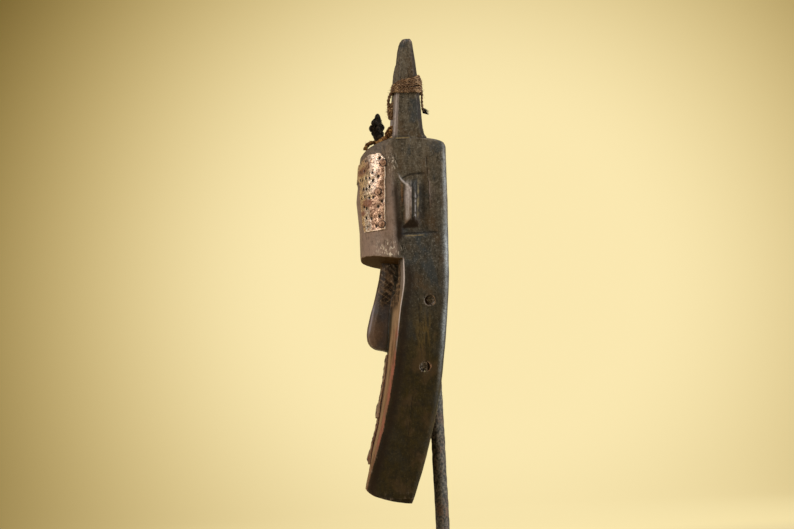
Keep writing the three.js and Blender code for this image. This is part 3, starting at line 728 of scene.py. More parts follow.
def mark_wood(piece):
    """Marks where the wood is worn and sunk, where shade and highlights are painted, where the rim's
    corner is rubbed and painted with a highlight, and how far it is from its lines.
    """
    p = to_mask(points_of(piece))
    x, y, z = p.T
    wide = np.abs(x)
    normals = normals_of(piece)
    sideways, forward, downward = np.abs(normals[:, 0]), -normals[:, 1], -normals[:, 2]
    out = standing_out(piece, 7)
    hollow = inside_hollow(p)
    outside = 1 - hollow
    half = along(HALF_WIDTH, z)
    to_front = y - along(FRONT_EDGE, z)

    nearer = np.maximum(0, rough(p, (13, 13, 26), 21)) + 0.45 * rough(p, (3.4, 3.4, 5), 22)
    by_ear = rising(wide, 69, 70) * over(y, -4, -2, 47, 50) * over(z, 16, 20, 100, 104)
    by_ear = np.maximum(by_ear, 0.8 * spot(p, KNOT, 4))
    worn = rising(out, 0.12, 0.62) * rising(nearer, -0.35, 0.5) * (1 - 0.7 * hollow) * (1 - 0.9 * by_ear)
    mark(piece, worn=worn, sunk=rising(-out, 0.05, 0.5), hollow=hollow)

    inner_rim = half - RIM_WIDTH
    rim = rising(wide, inner_rim - 1.5, inner_rim + 0.5) * (forward > 0.25) * (to_front < 2.5)
    streaks = rising(rough(p, (4, 4, 16), 24) + 0.75 * hump(z, -150, 60), -0.1, 0.6)
    # The rubbed band is worn wood on the rim's corner, which the finish also paints with a highlight
    mark(piece, pigment=rim * over(z, -226, -196, -92, -70) * streaks,
         rubbed=over(z, -118, -62, -6, 2) * outside)
    mark(piece, to_front=np.clip(to_front, -14, 9), to_side=np.clip(half - wide, -9, 9),
         to_ear_edge=np.clip((z - along(EAR_EDGE, y)) / 1.5, -9, 9),
         to_ear_shadow=np.clip(z - along(EAR_SHADOW, y), -9, 9))

    inner = half - 27 - 19 * rising(z, -70, -120) + 6 * rough(p, (20, 20, 30), 25)
    cheek = rising(wide, inner - 8, inner + 8) * (forward > 0.3) * rising(z, 1, -8) * outside
    nose = rising(-to_front, 9, 13) * (z < 3) * (z > -112) * (wide < 18) * outside
    recess = rising(y, -26, -12) * rising(z, -66, -46) * (z < 6) * (wide < 67) * (wide > 11)
    recess = recess * rising(forward, 0.1, 0.3) * outside
    mark(piece, cheek=cheek, nose=nose, recess=recess, gouge=np.clip(1.6 * gouges(p) - 0.2, 0, 1))

    flank = (sideways > 0.5) * outside
    on_ear = (z > 28) * (z < 96) * (wide > 71.3) * outside
    # Painted shade: the groove before the ear, the ear's lower end, its back slope and the foot of its
    # front, the side just behind the rim, and the horns' back bevels
    stained = 0.8 * hump(y, 1.0, 3.2) * over(z, 10, 22, 76, 92) * flank
    stained += rising(downward, 0.12, 0.3) * (z < 50) * (y > 2) * (y < 24) * on_ear
    stained += 0.6 * rising(-forward, 0.15, 0.5) * (y > 15) * (y < 34) * on_ear
    stained += 0.85 * hump(to_front, 6, 6) * rising(z, 0, -20) * flank
    stained += 0.75 * rising(-forward, 0.2, 0.5) * rising(z, 130, 140) * outside
    stained += hump(y, 3.5, 3) * over(z, 20, 25, 38, 46) * outside * (wide > 68)
    # Painted shade on the underside of the brow
    under = rising(downward, 0.3, 0.6) * (z > -12) * (z < 16) * (y < 8) * outside
    mark(piece, stained=np.clip(stained, 0, 1), under=under)

    # Painted light: the ears' and horns' faces that turn to the front are painted lighter, with a pinkish
    # highlight on the horns
    facing = rising(forward, 0.15, 0.5)
    horn_front = 0.8 * facing * over(z, 136, 142, 184, 196) * (sideways > 0.2) * outside
    # Painted highlight along the back edge, broken up by noise
    back_light = hump(y - along(BACK_EDGE, z), -3.4, 2.6) * over(z, -170, -30, 112, 130)
    back_light *= 0.35 + 0.65 * rising(rough(p, (18, 18, 34), 26), -0.35, 0.35)
    scuffs = hump(y, -3, 5) * hump(z, 109, 11) + 1.3 * hump(y, -11, 11) * hump(z, 9, 10)
    mark(piece, flank=rising(normals[:, 0] * np.sign(x), 0.25, 0.5) * outside,
         handled=np.clip(facing * on_ear * (y > 1) + horn_front, 0, 1),
         back_light=back_light * (sideways > 0.3) * outside, scuffs=np.clip(scuffs * flank, 0, 1))


def carve_mask(wood):
    """Copies the plain solid, cuts it fine, works its surface with the tools, and thins it out."""
    choose(bpy.data.objects["mask"])
    bpy.ops.object.duplicate()
    piece = named("carved_mask")
    with editing(piece):
        bpy.ops.mesh.remove_doubles(threshold=0.01 * MM)
    piece.data.remesh_voxel_size = wood.grid
    bpy.ops.object.voxel_remesh()

    p = to_mask(points_of(piece))
    round_back(p)
    soften_ears(piece, p)
    p[:, 2] += HORN_LIFT * rising(p[:, 2], 240, 250)
    reshape(piece, from_mask(p))
    points = points_of(piece)
    normals = normals_of(piece)
    move = tool_work(p, normals, standing_out(piece, 10), wood)
    reshape(piece, points + normals * (move * MM)[:, None])

    refined(piece, "TRIANGULATE")
    share = wood.faces / len(piece.data.polygons)
    if share < 1:
        refined(piece, "DECIMATE", ratio=share)
    smoothed(piece)
    mark_wood(piece)
    return piece


# Strokes of the gouge beside the nose, as the heights at which those that rise and fall start
STROKES = [(-21, -9), (-29, -15), (-36, -21), (-44, -27), (-52, -34)]


def ear_lines(f, depth, height, flank, cloud, speck, streaked):
    """Paints shade and highlights as lines on the ear, on the cut below it and on the horn's foot, and
    gives the lines of painted shade back."""
    lean = depth - (height - EAR_MIDDLE) * EAR_LEAN
    on_ear = height.over(40, 47, 79, 90) * flank
    notch = f.noise(1.9, 2.0, 0.6, stretch=(0.1, 1, 0.1))
    cut = (height + (notch - 0.5) * 3.0).near(27.2, 1.9) * depth.over(2, 5, 41, 46)
    shadow = f.marked("to_ear_shadow").near(0, 1.8) * depth.over(5, 9, 26, 40)
    horn_foot = height.near(134.0, 1.3) * depth.over(2, 5, 14, 20)
    # Painted shade in the ear's grooves, in the cut below it, under its shadow line and at the horn's
    # foot
    grooves = lean.near(17.9, 1.6) + lean.near(22.3, 1.1) * 0.6 + lean.near(29.5, 6.5) * 0.55
    shade_lines = grooves * on_ear * cloud.between(0.2, 0.5)
    f.paint(shade_lines + (cut + shadow * 0.75 + horn_foot * 0.7) * flank, (0.010, 0.008, 0.006))

    # Painted highlights on the ear's curved edge and ridges and on the horn's front edge
    horn_edge = (depth - (height - 139.2) * 0.111).near(2.4, 1.3) * height.over(137, 143, 187, 192)
    edge = f.marked("to_ear_edge").near(0, 1.7) * depth.over(3.6, 6, 17, 18.5) * height.between(70, 76)
    upper = lean.near(20.8, 1.3) * height.between(78, 66) * speck.between(0.4, 0.6)
    middle = lean.near(15.9, 1.5) * cloud.between(0.4, 0.6)
    broad = lean.near(12.2, 3.4) * streaked.between(0.36, 0.54)
    pale = edge + horn_edge * 0.8 + (upper * 0.6 + middle * 0.6 + broad * 0.85) * on_ear
    f.paint(pale * flank * speck.between(0.25, 0.5) * 0.85, (0.38, 0.34, 0.33))

    # Painted highlights on the lip below the cut, above the horn's foot and along the ear's back ridge
    below = height.near(24.2, 1.2) * depth.over(7, 11, 26, 32) * 0.8
    above = height.near(135.6, 1.0) * depth.over(2, 5, 15, 22)
    tan_highlights = (below + above) * flank + lean.near(24.0, 1.9) * on_ear * cloud.between(0.35, 0.6) * 0.75
    f.paint(tan_highlights * speck.between(0.2, 0.5) * 0.8, (0.22, 0.16, 0.075))
    ochre = lean.near(6.0, 3.2) * on_ear * streaked.between(0.42, 0.60) * speck.between(0.3, 0.6)
    f.paint(ochre * 0.75, (0.21, 0.105, 0.045))
    return shade_lines


def wood_finish(wood):
    """Dark smoked hardwood: grain, a polish of handling, rubbed edges and traces of red earth."""
    f = Finish("Carved wood", {"Roughness": 0.5, "Specular IOR Level": 0.13})
    grain = f.noise(1.8, 5.0, 0.66, stretch=(1, 1, 0.10))
    broad = f.noise(22, 3.0, stretch=(1, 1, 0.7))
    cloud = f.noise(8.5, 4.0, 0.6, stretch=(1, 1, 0.8))
    speck = f.noise(2.9, 3.0, 0.75)
    fine = f.noise(1.2, 2.0, 0.7)
    streaked = f.noise(3.0, 4.0, 0.65, stretch=(1, 1, 0.12))
    scratched = f.noise(2.1, 4.0, 0.7, stretch=(1, 1, 0.25))
    scuff = f.noise(1.7, 2.0, 0.5, stretch=(1, 1, 0.45))
    depth = f.axis("Y") - BROW[1]
    height = f.axis("Z") - BROW[2]
    flank, cheek, nose = f.marked("flank"), f.marked("cheek"), f.marked("nose")
    hollow, stained, under = f.marked("hollow"), f.marked("stained"), f.marked("under")

    # The smoked wood, paler towards the horns, and the raw wood of the hollow
    low = height.between(20, -130)
    tone = (grain * 0.3 + cloud * 0.45 + speck * 0.45 + fine * 0.3).between(0.50, 0.96)
    brown = f.mix(height.between(10, 125), f.mix(low, wood.brown, wood.low), wood.high)
    f.coat = f.mix(tone, wood.dark, brown)
    f.paint(broad.between(0.50, 0.66) * 0.5, (0.060, 0.034, 0.015))
    f.paint(broad.between(0.46, 0.34) * (0.75 - low * 0.6), (0.026, 0.031, 0.034))
    block = height.over(-4, 8, 40, 170) * depth.between(4, -6)
    f.paint(block * tone.between(-0.5, 0.9), (0.225, 0.156, 0.126))
    f.paint(hollow * 0.8, f.mix(grain, (0.045, 0.028, 0.015), (0.14, 0.088, 0.048)))
    # Painted light on the faces that turn to the front, pinkish on the horns
    handled = f.mix(height.between(52, 72), (0.12, 0.068, 0.036), (0.24, 0.19, 0.185))
    f.paint(f.marked("handled") * (0.2 + speck * 0.9), handled)

    # The cheeks, with a painted highlight along the ridge of the rim and the dark wood inside it
    upper = f.mix(height.between(-55, -25), (0.27, 0.170, 0.096), (0.155, 0.120, 0.102))
    reddish = f.mix(height.between(-60, -110), upper, (0.21, 0.108, 0.058))
    f.paint(cheek * (0.35 + streaked.between(0.35, 0.6) * 0.65), reddish)
    beyond = f.marked("to_front") + 6.0 + (height + 100) * 0.019
    rim_ridge_highlight = beyond.near(0, 1.8) * height.over(-246, -226, -62, -42)
    f.paint(rim_ridge_highlight * cheek * 0.6, (0.27, 0.180, 0.098))
    inner = f.mix(speck.between(0.40, 0.60), (0.018, 0.011, 0.007), (0.15, 0.092, 0.062))
    inward = beyond.between(-0.7, -1.5) * height.over(-234, -226, -106, -96)
    f.paint(inward * cheek * 0.85, inner)

    # The nose with a painted highlight along its bridge, and the gouged wood beside it, with painted
    # shade in the recess and in the deeper cuts
    dusky = f.mix(broad.between(0.30, 0.66), (0.058, 0.047, 0.050), (0.115, 0.068, 0.046))
    f.paint(nose * (0.45 + tone * 0.45), dusky)
    bridge_highlight = (depth - (height + 84) * 0.248).near(-38.2, 2.2) * height.over(-88, -74, -52, -40)
    f.paint(bridge_highlight * nose * scratched.between(0.2, 0.5) * 0.5, (0.30, 0.27, 0.31))
    shaded_gouges = f.mix(f.marked("gouge"), (0.014, 0.007, 0.003), (0.15, 0.09, 0.048))
    rise, fall = height + depth * 0.9, height - depth * 0.7
    strokes = sum(rise.near(up, 0.8) + fall.near(down, 0.8) for up, down in STROKES)
    scored = f.mix(strokes * speck.between(0.38, 0.60) * 0.7, shaded_gouges, (0.22, 0.14, 0.075))
    beside_nose = nose * height.between(-54, -42) * depth.between(-27, -21)
    f.paint((f.marked("recess") + beside_nose).between(0, 1) * 0.9, scored)

    # Streaks, specks and scuffs, darker hollows, painted shade, and worn edges
    warm = depth.near(24, 17) * height.near(-84, 42) * streaked.between(0.44, 0.60) * flank
    f.paint(warm * 0.75, (0.090, 0.058, 0.018))
    pale = (speck * 0.5 + fine * 0.55).between(0.57, 0.66)
    f.paint(pale * (0.2 + flank * 0.26 - low * 0.3).between(0, 1), (0.18, 0.172, 0.15))
    f.paint(f.marked("scuffs") * scuff.between(0.54, 0.64), (0.55, 0.48, 0.40))
    f.paint(f.marked("sunk") * 0.75, (0.006, 0.0045, 0.003))
    # Painted shade in the grooves, below and behind the ears, behind the rim and on the horns' back
    # bevels
    f.paint(stained * 0.9, (0.014, 0.007, 0.003))
    # Painted shade under the brow
    f.paint(under * 0.92, (0.052, 0.022, 0.001))
    f.paint(f.marked("worn") * scratched.between(0.34, 0.62) * 0.65, wood.worn)
    shade_lines = ear_lines(f, depth, height, flank, cloud, speck, streaked)

    # A painted highlight along the back edge, worn wood with a painted highlight on the front rim's
    # corner, and the red earth
    back_highlight = f.marked("back_light") * (speck * 0.5 + fine * 0.5).between(0.28, 0.66)
    f.paint(back_highlight * 0.85, (0.33, 0.35, 0.36))
    front, side = f.marked("to_front"), f.marked("to_side")
    corner = (front * front + side * side) ** 0.5
    # Worn wood on the rim's corner, with a painted highlight
    rubbed = f.marked("rubbed") * corner.between(1.2, 0.45) * scratched.between(0.1, 0.45)
    f.paint(rubbed * 0.85, (0.52, 0.45, 0.45))
    f.paint(f.marked("pigment") * scratched.between(0.30, 0.52), wood.pigment)

    matt = hollow + f.marked("pigment") + stained + under + shade_lines
    relief = grain * 0.4 + fine * 0.4 + speck * 0.5
    return f.dressed(roughness=f.blend(matt, f.blend(fine, 0.28, 0.6), 0.92), normal=f.bump(relief, 0.42))


# Sheet metal

def block_back(height):
    """Depth at which the forehead block begins to round to the front."""
    return 1.5 + 0.05 * height


def plate_turns():
    """Angles round the forehead block at even shares of the way from its middle to the rear edge of
    the plate, for a row of heights."""
    heights = np.linspace(PLATE_LOW, PLATE_HIGH, 30)
    shares = np.linspace(0, 1, 121)
    rows = []
    for height in heights:
        back = block_back(height)
        depth = back - along(BLOCK_FRONT, height) + FIT + SHEET / 2
        rear = -13.8 + 4.7 * (height - PLATE_LOW) / PLATE_TALL
        last = math.asin(((back - rear) / depth) ** (BLOCK_ROUNDNESS / 2))
        turn = np.linspace(math.pi / 2, last, 900)
        x = (BLOCK_HALF + FIT) * np.abs(np.cos(turn)) ** (2 / BLOCK_ROUNDNESS)
        y = back - depth * np.sin(turn) ** (2 / BLOCK_ROUNDNESS)
        way = np.concatenate([[0], np.cumsum(np.hypot(np.diff(x), np.diff(y)))])
        rows.append(np.interp(shares, way / way[-1], turn))
    return heights, np.array(rows)


def bent_plate(flat):
    """Bends the flat forehead plate, whose points are (share of the half width, height, thickness)."""
    share, height, skin = flat.T
    heights, rows = plate_turns()
    level = np.clip((height - heights[0]) / (heights[1] - heights[0]), 0, len(heights) - 1.001)
    row = level.astype(int)
    part = level - row
    column = np.clip(np.abs(share), 0, 1) * (rows.shape[1] - 1)
    left = np.minimum(column.astype(int), rows.shape[1] - 2)
    across = column - left
    lower, upper = (rows[r, left] * (1 - across) + rows[r, left + 1] * across for r in (row, row + 1))
    turn = lower * (1 - part) + upper * part
    back = block_back(height)
    depth = back - along(BLOCK_FRONT, height) + FIT + skin
    x = np.sign(share) * (BLOCK_HALF + FIT + skin) * np.abs(np.cos(turn)) ** (2 / BLOCK_ROUNDNESS)
    y = back - depth * np.sin(turn) ** (2 / BLOCK_ROUNDNESS)
    return np.stack([x, y, height], axis=1)


def flat_sheet(name, width, height, spacing):
    """A flat sheet with its middle on x = 0 and its lower edge on y = 0, in a fine grid."""
    sheet = added(name, bpy.ops.mesh.primitive_grid_add, x_subdivisions=round(width * MM / spacing),
                  y_subdivisions=round(height * MM / spacing), size=1)
    sheet.scale = (width * MM, height * MM, 1)
    sheet.location = (0, height * MM / 2, 0)
    placed(sheet)
    refined(sheet, "SOLIDIFY", thickness=SHEET * MM, offset=1)
    return sheet


def punched(sheet, holes, seed):
    """Cuts ragged holes, given as (across, up, radius) in millimetres, through a flat sheet."""
    punch = added("punch", bpy.ops.mesh.primitive_cylinder_add, vertices=7, radius=MM, depth=9 * MM)
    cutters = []
    turns = drawn(len(holes), seed)
    for k, (across, up, radius) in enumerate(holes):
        cutter = copied(punch, f"punch_{k}")
        cutter.location = (across * MM, up * MM, 0)
        cutter.scale = (radius, radius * (0.75 + 0.4 * turns[k]), 1)
        cutter.rotation_euler = (0, 0, ABOUT_ROUND * turns[k])
        cutters.append(cutter)
    dropped(punch)
    tool = joined(cutters, "punches")
    placed(tool)
    at = points_of(tool)
    at[:, :2] += 0.34 * MM * unsteady(at * (1, 1, 0) / MM, 0.9, seed + 1, axes=2)
    reshape(tool, at)
    cut_away(sheet, tool)
    refined(sheet, "TRIANGULATE")


def sheet_distances(flat, holes, half, tall):
    """Distances from each point of a flat sheet to the rim of the nearest hole and to the edge."""
    away = np.full(len(flat), 50.0)
    for across, up, radius in holes:
        away = np.minimum(away, np.hypot(flat[:, 0] - across, flat[:, 1] - up) - radius)
    border = np.minimum(half - np.abs(flat[:, 0]), np.minimum(flat[:, 1], tall - flat[:, 1]))
    return away, border


def burr(away, width):
    """How far the metal is pushed out beside a hole, 1 at its rim."""
    return np.exp(-np.clip(away, 0, 9) / width)


def fastened_sheet(sheet, points, away, border, material, slot, node):
    """Lays the sheet's points where they belong, and marks its holes and edges for the finish."""
    reshape(sheet, from_mask(points))
    mark(sheet, rim=burr(away, 1.1), border=np.exp(-np.clip(border, 0, 30) / 1.6))
    smoothed(sheet, 40)
    finished(sheet, material, slot, node)


# Punched holes seen on the left side of the forehead plate, as (depth, height, radius)
SIDE_PUNCHES = [
    (-15.5, 114.3, 1.5), (-18.2, 93.6, 1.5), (-24.4, 89.8, 1.6), (-24.6, 98.6, 1.3), (-28.9, 83.4, 1.5),
    (-28.3, 93.5, 1.2), (-25.1, 70.5, 1.4), (-29.5, 70.7, 1.3), (-15.5, 65.0, 1.4), (-20.0, 59.6, 1.4),
    (-19.0, 48.2, 1.5), (-28.5, 46.9, 1.4), (-23.1, 37.4, 1.3),
]
# Half the width of the arch that is cut out of the plate's middle, as (height, value)
ARCH = [(25, 56), (33, 51), (38.5, 48), (49, 46), (80, 46), (88, 42.5), (93.5, 36), (96.5, 27),
        (98, 12)]
ARCH_TOP = 99


def share_round(height, which, value, start=0.0):
    """The share of the way round the block at which the plate has a given width or depth."""
    shares = np.linspace(start, 1, 500)
    trial = bent_plate(np.stack([shares, np.full(500, height), np.full(500, SHEET)], axis=1))
    return float(shares[np.argmin(np.abs(trial[:, which] - value))])


def arch_half(height):
    """Half the arch's width on the flat plate."""
    return share_round(max(height, PLATE_LOW), 0, along(ARCH, height)) * PLATE_HALF


def cut_arch(sheet):
    """Cuts the arch out of the flat plate's middle."""
    heights = np.concatenate([np.linspace(26, 90, 17), np.linspace(91.5, 98, 7)])
    side = [(arch_half(height), height - PLATE_LOW) for height in heights]
    outline = np.array([*side, *[(-across, up) for across, up in side[::-1]]])
    outline += 0.7 * unsteady(np.column_stack([outline, 0 * outline[:, 0]]), 5, 48, axes=2)
    cutter = added("arch", bpy.ops.mesh.primitive_circle_add, vertices=len(outline), radius=MM,
                   fill_type="NGON")
    reshape(cutter, np.column_stack([outline, np.full(len(outline), -5.0)]) * MM)
    with editing(cutter):
        extruded(10 * MM)
        facing_out()
    cut_away(sheet, cutter)


def plate_holes():
    """Holes of the forehead plate: those of the photographed side, the same sort on the other, and
    rows of them over the front."""
    holes = []
    for depth, height, radius in SIDE_PUNCHES:
        across = share_round(height, 1, depth, 0.3) * PLATE_HALF
        holes.append((across, height - PLATE_LOW, radius))
        holes.append((-across + 0.8, height - PLATE_LOW + 1.1, radius))
    apart, row_height = 8.4, 10.8
    chance = drawn(420, 41)
    for row, column in product(range(8), range(-8, 9)):
        k = row * 17 + column + 8
        across = column * apart + (row % 2) * apart / 2 + 2.6 * (chance[k] - 0.5)
        up = 6 + row * row_height + 3.4 * (chance[k + 140] - 0.5)
        clear = min(math.hypot(across - a, up - u) for a, u, _ in holes)
        inner = arch_half(PLATE_LOW + up) if PLATE_LOW + up < ARCH_TOP else -9
        if chance[k + 240] > 0.16 and clear > 5.2 and inner + 4 < abs(across) < 70:
            holes.append((across, up, 1.15 + 0.5 * chance[k + 70]))
    return holes


def forehead_plate(metal, material):
    """Punches and dents the flat plate, trims its corners, then bends it round the forehead."""
    sheet = flat_sheet("punched_plate", 2 * PLATE_HALF, PLATE_TALL, metal.plate_grid)
    for side in (1, -1):
        with editing(sheet):
            bpy.ops.mesh.bisect(
                plane_co=(side * (PLATE_HALF - 7) * MM, PLATE_TALL * MM, 0),
                plane_no=(side * 0.707, 0.707, 0), clear_outer=True, use_fill=True)
    cut_arch(sheet)
    flat = points_of(sheet)
    side_on, front_on = (share_round(116, 1, depth, 0.3) * PLATE_HALF * MM for depth in (-25, -37.5))
    dip = rising(np.abs(flat[:, 0]), side_on, front_on) * rising(flat[:, 1], 70 * MM, PLATE_TALL * MM)
    flat[:, 1] -= 6.0 * MM * dip
    reshape(sheet, flat)
    holes = plate_holes()
    punched(sheet, holes, 43)

    flat = points_of(sheet) / MM
    away, border = sheet_distances(flat, holes, PLATE_HALF, PLATE_TALL)
    around = flat * (1, 1, 0)
    across = np.abs(flat[:, 0])
    flat[:, 2] -= 0.62 * burr(away, 0.9)
    flat[:, 2] += 0.42 * rough(around, (15, 13, 9), 44) + 0.22 * waves(around, 5, 45)
    folds = rising(across, 76, 66) * rising(flat[:, 1], 46, 30)
    flat[:, 2] += 0.30 * folds * np.sin(flat[:, 0] * 1.5 + 2.0 * waves(around, 14, 49))
    flat[:, 2] -= 0.45 * hump(flat[:, 1] - 0.06 * across, 54, 0.9) * rising(across, 66, 80)
    flat[:, 2] += 0.25
    flat[:, :2] += 0.55 * rising(border, 3.0, 0.0)[:, None] * unsteady(around, 4, 46, axes=2)
    bent = bent_plate(np.stack([flat[:, 0] / PLATE_HALF, flat[:, 1] + PLATE_LOW, flat[:, 2]], axis=1))
    fastened_sheet(sheet, bent, away, border, material, "forehead_sheet", "forehead_plate")


def lift_upper(z, outer):
    """The upper strip thickens, then rides over the lower one."""
    return (SHEET + 2 * FIT) * rising(np.where(outer, -155, -163) - z, 0, np.where(outer, 13, 5))


def lift_lower(z, outer):
    """The lower strip ends in a thick, rounded lip."""
    return 2.5 * hump(z, -220.5, 6) * np.where(outer, 1, 0.15)


FACE_STRIPS = [
    # name, node, high, low, half width, lift, rows of holes, seed
    ("upper_strip", "upper_face_strip", -105, -176, 27, lift_upper, 7, 51),
    ("lower_strip", "lower_face_strip", -168, -228, 24, lift_lower, 6, 71),
]


def face_strip(metal, material, name, node, high, low, half, lift, rows, seed):
    """Punches a strip from behind, so that its holes stand proud, and lays it down the face."""
    tall = high - low
    sheet = flat_sheet(name, 2 * half, tall, metal.plate_grid * 0.75)
    chance = drawn(300, seed)
    holes = []
    for row, column in product(range(rows), range(-2, 3)):
        k = row * 5 + column + 2
        if chance[k + 80] > 0.1:
            holes.append((column * half * 0.42 + 2.4 * (chance[k] - 0.5),
                          (row + 0.5) * tall / rows + 3 * (chance[k + 40] - 0.5),
                          0.9 + 0.5 * chance[k + 120]))
    punched(sheet, holes, seed + 3)

    flat = points_of(sheet) / MM
    outer = flat[:, 2] > SHEET / 2
    away, border = sheet_distances(flat, holes, half, tall)
    around = flat * (1, 1, 0)
    ragged = rising(border, 3.0, 0.0)
    flat[:, 2] += 0.5 * burr(away, 0.8) * outer
    flat[:, 2] += 0.3 * rough(around, (12, 9, 9), seed + 4) + 0.2 * waves(around, 4, seed + 5)
    flat[:, 2] += 0.15 * ragged * waves(around, 6, seed + 6) + 0.25
    flat[:, :2] += 0.6 * ragged[:, None] * unsteady(around, 4, seed + 7, axes=2)
    x = flat[:, 0]
    z = low + flat[:, 1]
    pressed = 1 - 0.9 * rising(np.abs(x), 24.4, 26.4)
    y = face_depth(x, z) - FIT - lift(z, outer) * pressed - flat[:, 2]
    fastened_sheet(sheet, np.stack([x, y, z], axis=1), away, border, material, "face_sheet", node)


# Rust spots on the forehead plate, as (depth, height, size)
RUST_SPOTS = [(-32, 65, 6.6), (-36, 103, 6.0), (-37, 55, 3.6)]


def forehead_finish(metal):
    """Tinned sheet: near white where it is rubbed, with painted highlights there too, pinkish and golden
    where it is tarnished.
    """
    f = Finish("Forehead sheet", {"Metallic": 0.6, "Roughness": 0.4})
    depth = f.axis("Y") - BROW[1]
    height = f.axis("Z") - BROW[2]
    blotch = f.noise(6.0, 4.0, 0.65)
    mottle = f.noise(2.6, 4.0, 0.7)
    fine = f.noise(1.0, 3.0, 0.65)
    rim, border = f.marked("rim"), f.marked("border")
    wander = (blotch - 0.5) * 13
    front = (depth + wander * 0.8).between(-29, -35)

    patchy = (blotch * 0.45 + mottle * 0.55).between(0.40, 0.60)
    pink = f.mix(patchy, (0.54, 0.345, 0.24), (0.17, 0.092, 0.055))
    coppery = f.mix(mottle.between(0.40, 0.56), (0.13, 0.058, 0.024), (0.98, 0.72, 0.37))
    f.coat = f.mix(front, pink, coppery)
    cream = (depth + wander).near(-30, 7).between(0.1, 0.6) * height.over(66, 74, 98, 106)
    f.paint(cream * mottle.between(0.40, 0.52), (0.74, 0.60, 0.34))
    # Near white where the sheet is rubbed, partly a painted highlight
    white = (depth - (height - 112) * 0.20 + wander).near(-20.5, 8.5).between(0.1, 0.6)
    white = white * height.between(70, 84)
    white = white + (height + wander).between(110, 116) * depth.between(-34, -28)
    streak = (depth + wander * 0.7).near(-32.5, 5).between(0.1, 0.6) * height.between(63, 55)
    f.paint((white + streak) * mottle.between(0.41, 0.54), metal.sheet)
    f.paint((blotch * 0.5 + fine * 0.6).between(0.52, 0.68) * 0.6, (0.30, 0.22, 0.18))
    f.paint((mottle * 0.7 + fine * 0.45).between(0.53, 0.62) * 0.9, (0.100, 0.045, 0.022))
    for y, z, size in RUST_SPOTS:
        away = f.from_side(y + BROW[1], z + BROW[2]) + (mottle - 0.5) * 6
        f.paint(away.between(size, size * 0.55) * 0.8, (0.15, 0.055, 0.032))
    f.paint(border.between(0.55, 0.95) * mottle.between(0.38, 0.52), (0.74, 0.58, 0.44))
    f.paint((rim * 1.2).between(0.55, 0.98), (0.035, 0.022, 0.015))

    dull = (mottle * 0.6 + fine * 0.5).between(0.4, 0.75)
    tarnished = (front + rim * 0.9 + border * 0.5).between(0, 1)
    return f.dressed(roughness=f.blend(dull, 0.26, 0.6), metallic=f.blend(tarnished, 0.62, 0.0),
                     normal=f.bump(fine * 0.45 + mottle * 0.7, 0.4))


def face_finish(metal):
    """Thin rolled sheet that is bright where it is rubbed, and tarnished and rusty elsewhere."""
    f = Finish("Face sheet", {"Metallic": 0.8, "Roughness": 0.4})
    broad = f.noise(17, 4.0, 0.6)
    blotch = f.noise(6.5, 4.0, 0.65)
    fine = f.noise(1.1, 3.0, 0.65)
    rim = f.marked("rim")
    edge = rim * 0.9 + f.marked("border") * 0.5
    old = (broad * 0.7 + blotch * 0.55).between(0.38, 0.84)
    rusty = (blotch + edge * 0.42 + fine * 0.12).between(0.66, 0.88)
    f.coat = f.mix(old, (0.34, 0.23, 0.16), (0.13, 0.080, 0.050))
    f.paint(rusty * 0.85, metal.rust)
    f.paint((rim * 1.2).between(0.45, 0.95), (0.035, 0.022, 0.015))
    return f.dressed(roughness=f.blend(rusty, f.blend(old, 0.30, 0.52), 0.8),
                     metallic=f.blend((rusty + rim).between(0.2, 0.9), 0.4, 0.1),
                     normal=f.bump(fine * 0.5 + blotch * 0.5, 0.22))


# Nails and pegs

# The axis from which nail heads face away, and the seat of a head as a share of its height
NAIL_AXIS = (0.0, 20.0)
NAIL_SEAT = 0.45


def nails(material):
    """Models one hammered nail head, and copies it to every place that has one."""
    head = added("nail_head", bpy.ops.mesh.primitive_uv_sphere_add, segments=20, ring_count=14, radius=MM)
    at = points_of(head) / MM
    lower = at[:, 2] < 0
    at[lower, 2] *= 0.12
    reach = np.hypot(at[:, 0], at[:, 1])
    at[:, 2] -= 0.34 * hump(reach, 0.45, 0.34) * (~lower)
    reshape(head, at * MM)
    at = points_of(head) / MM
    names = [n for n in frame["nodes"] if "_nail_" in n]
    chance = drawn(3 * len(names), 61)
    for k, name in enumerate(names):
        solid = points_of(bpy.data.objects[name]) / MM
        middle = (solid.min(axis=0) + solid.max(axis=0)) / 2
        facing = np.linalg.eigh(np.cov((solid - middle).T))[1][:, 0]
        from_axis = middle - np.array([*NAIL_AXIS, middle[2]])
        facing = facing if facing @ from_axis > 0 else -facing
        radius, tall = (4.6, 1.7) if name.startswith("plate") else (3.0, 1.3)
        side = np.cross(facing, (0.2, 0.3, 1.0))
        side /= np.linalg.norm(side)
        basis = np.stack([side, np.cross(facing, side), facing], axis=1)
        nail = copied(head, f"hammered_{name}")
        skew = 1 + 0.10 * (chance[3 * k] - 0.5) + 0.09 * waves(at * 1.7 + k * 5, 1, 62)
        local = at * np.array([radius, radius, tall]) * skew[:, None]
        local[:, 2] += 0.22 * waves(local + k * 9, (1.6, 1.6, 3), 63) * (at[:, 2] > 0.05)
        base = middle - facing * (NAIL_SEAT * tall)
        reshape(nail, (base + local @ basis.T) * MM)
        mark(nail, rim=rising(np.hypot(at[:, 0], at[:, 1]), 0.70, 0.90))
        smoothed(nail)
        finished(nail, material, "nail_iron", name)
    dropped(head)


def nail_finish(metal):
    """Brown iron with paler rubbed spots, dark round its rim."""
    f = Finish("Nail iron", {"Metallic": 0.7, "Roughness": 0.45})
    blotch = f.noise(2.2, 4.0, 0.65)
    fine = f.noise(0.5, 3.0, 0.6)
    f.coat = f.mix(blotch.between(0.40, 0.60), metal.nail, (0.34, 0.20, 0.13))
    f.paint(f.marked("rim"), (0.012, 0.008, 0.006))
    return f.dressed(roughness=f.blend(blotch, 0.34, 0.66), normal=f.bump(blotch * 0.6 + fine * 0.4, 0.3))


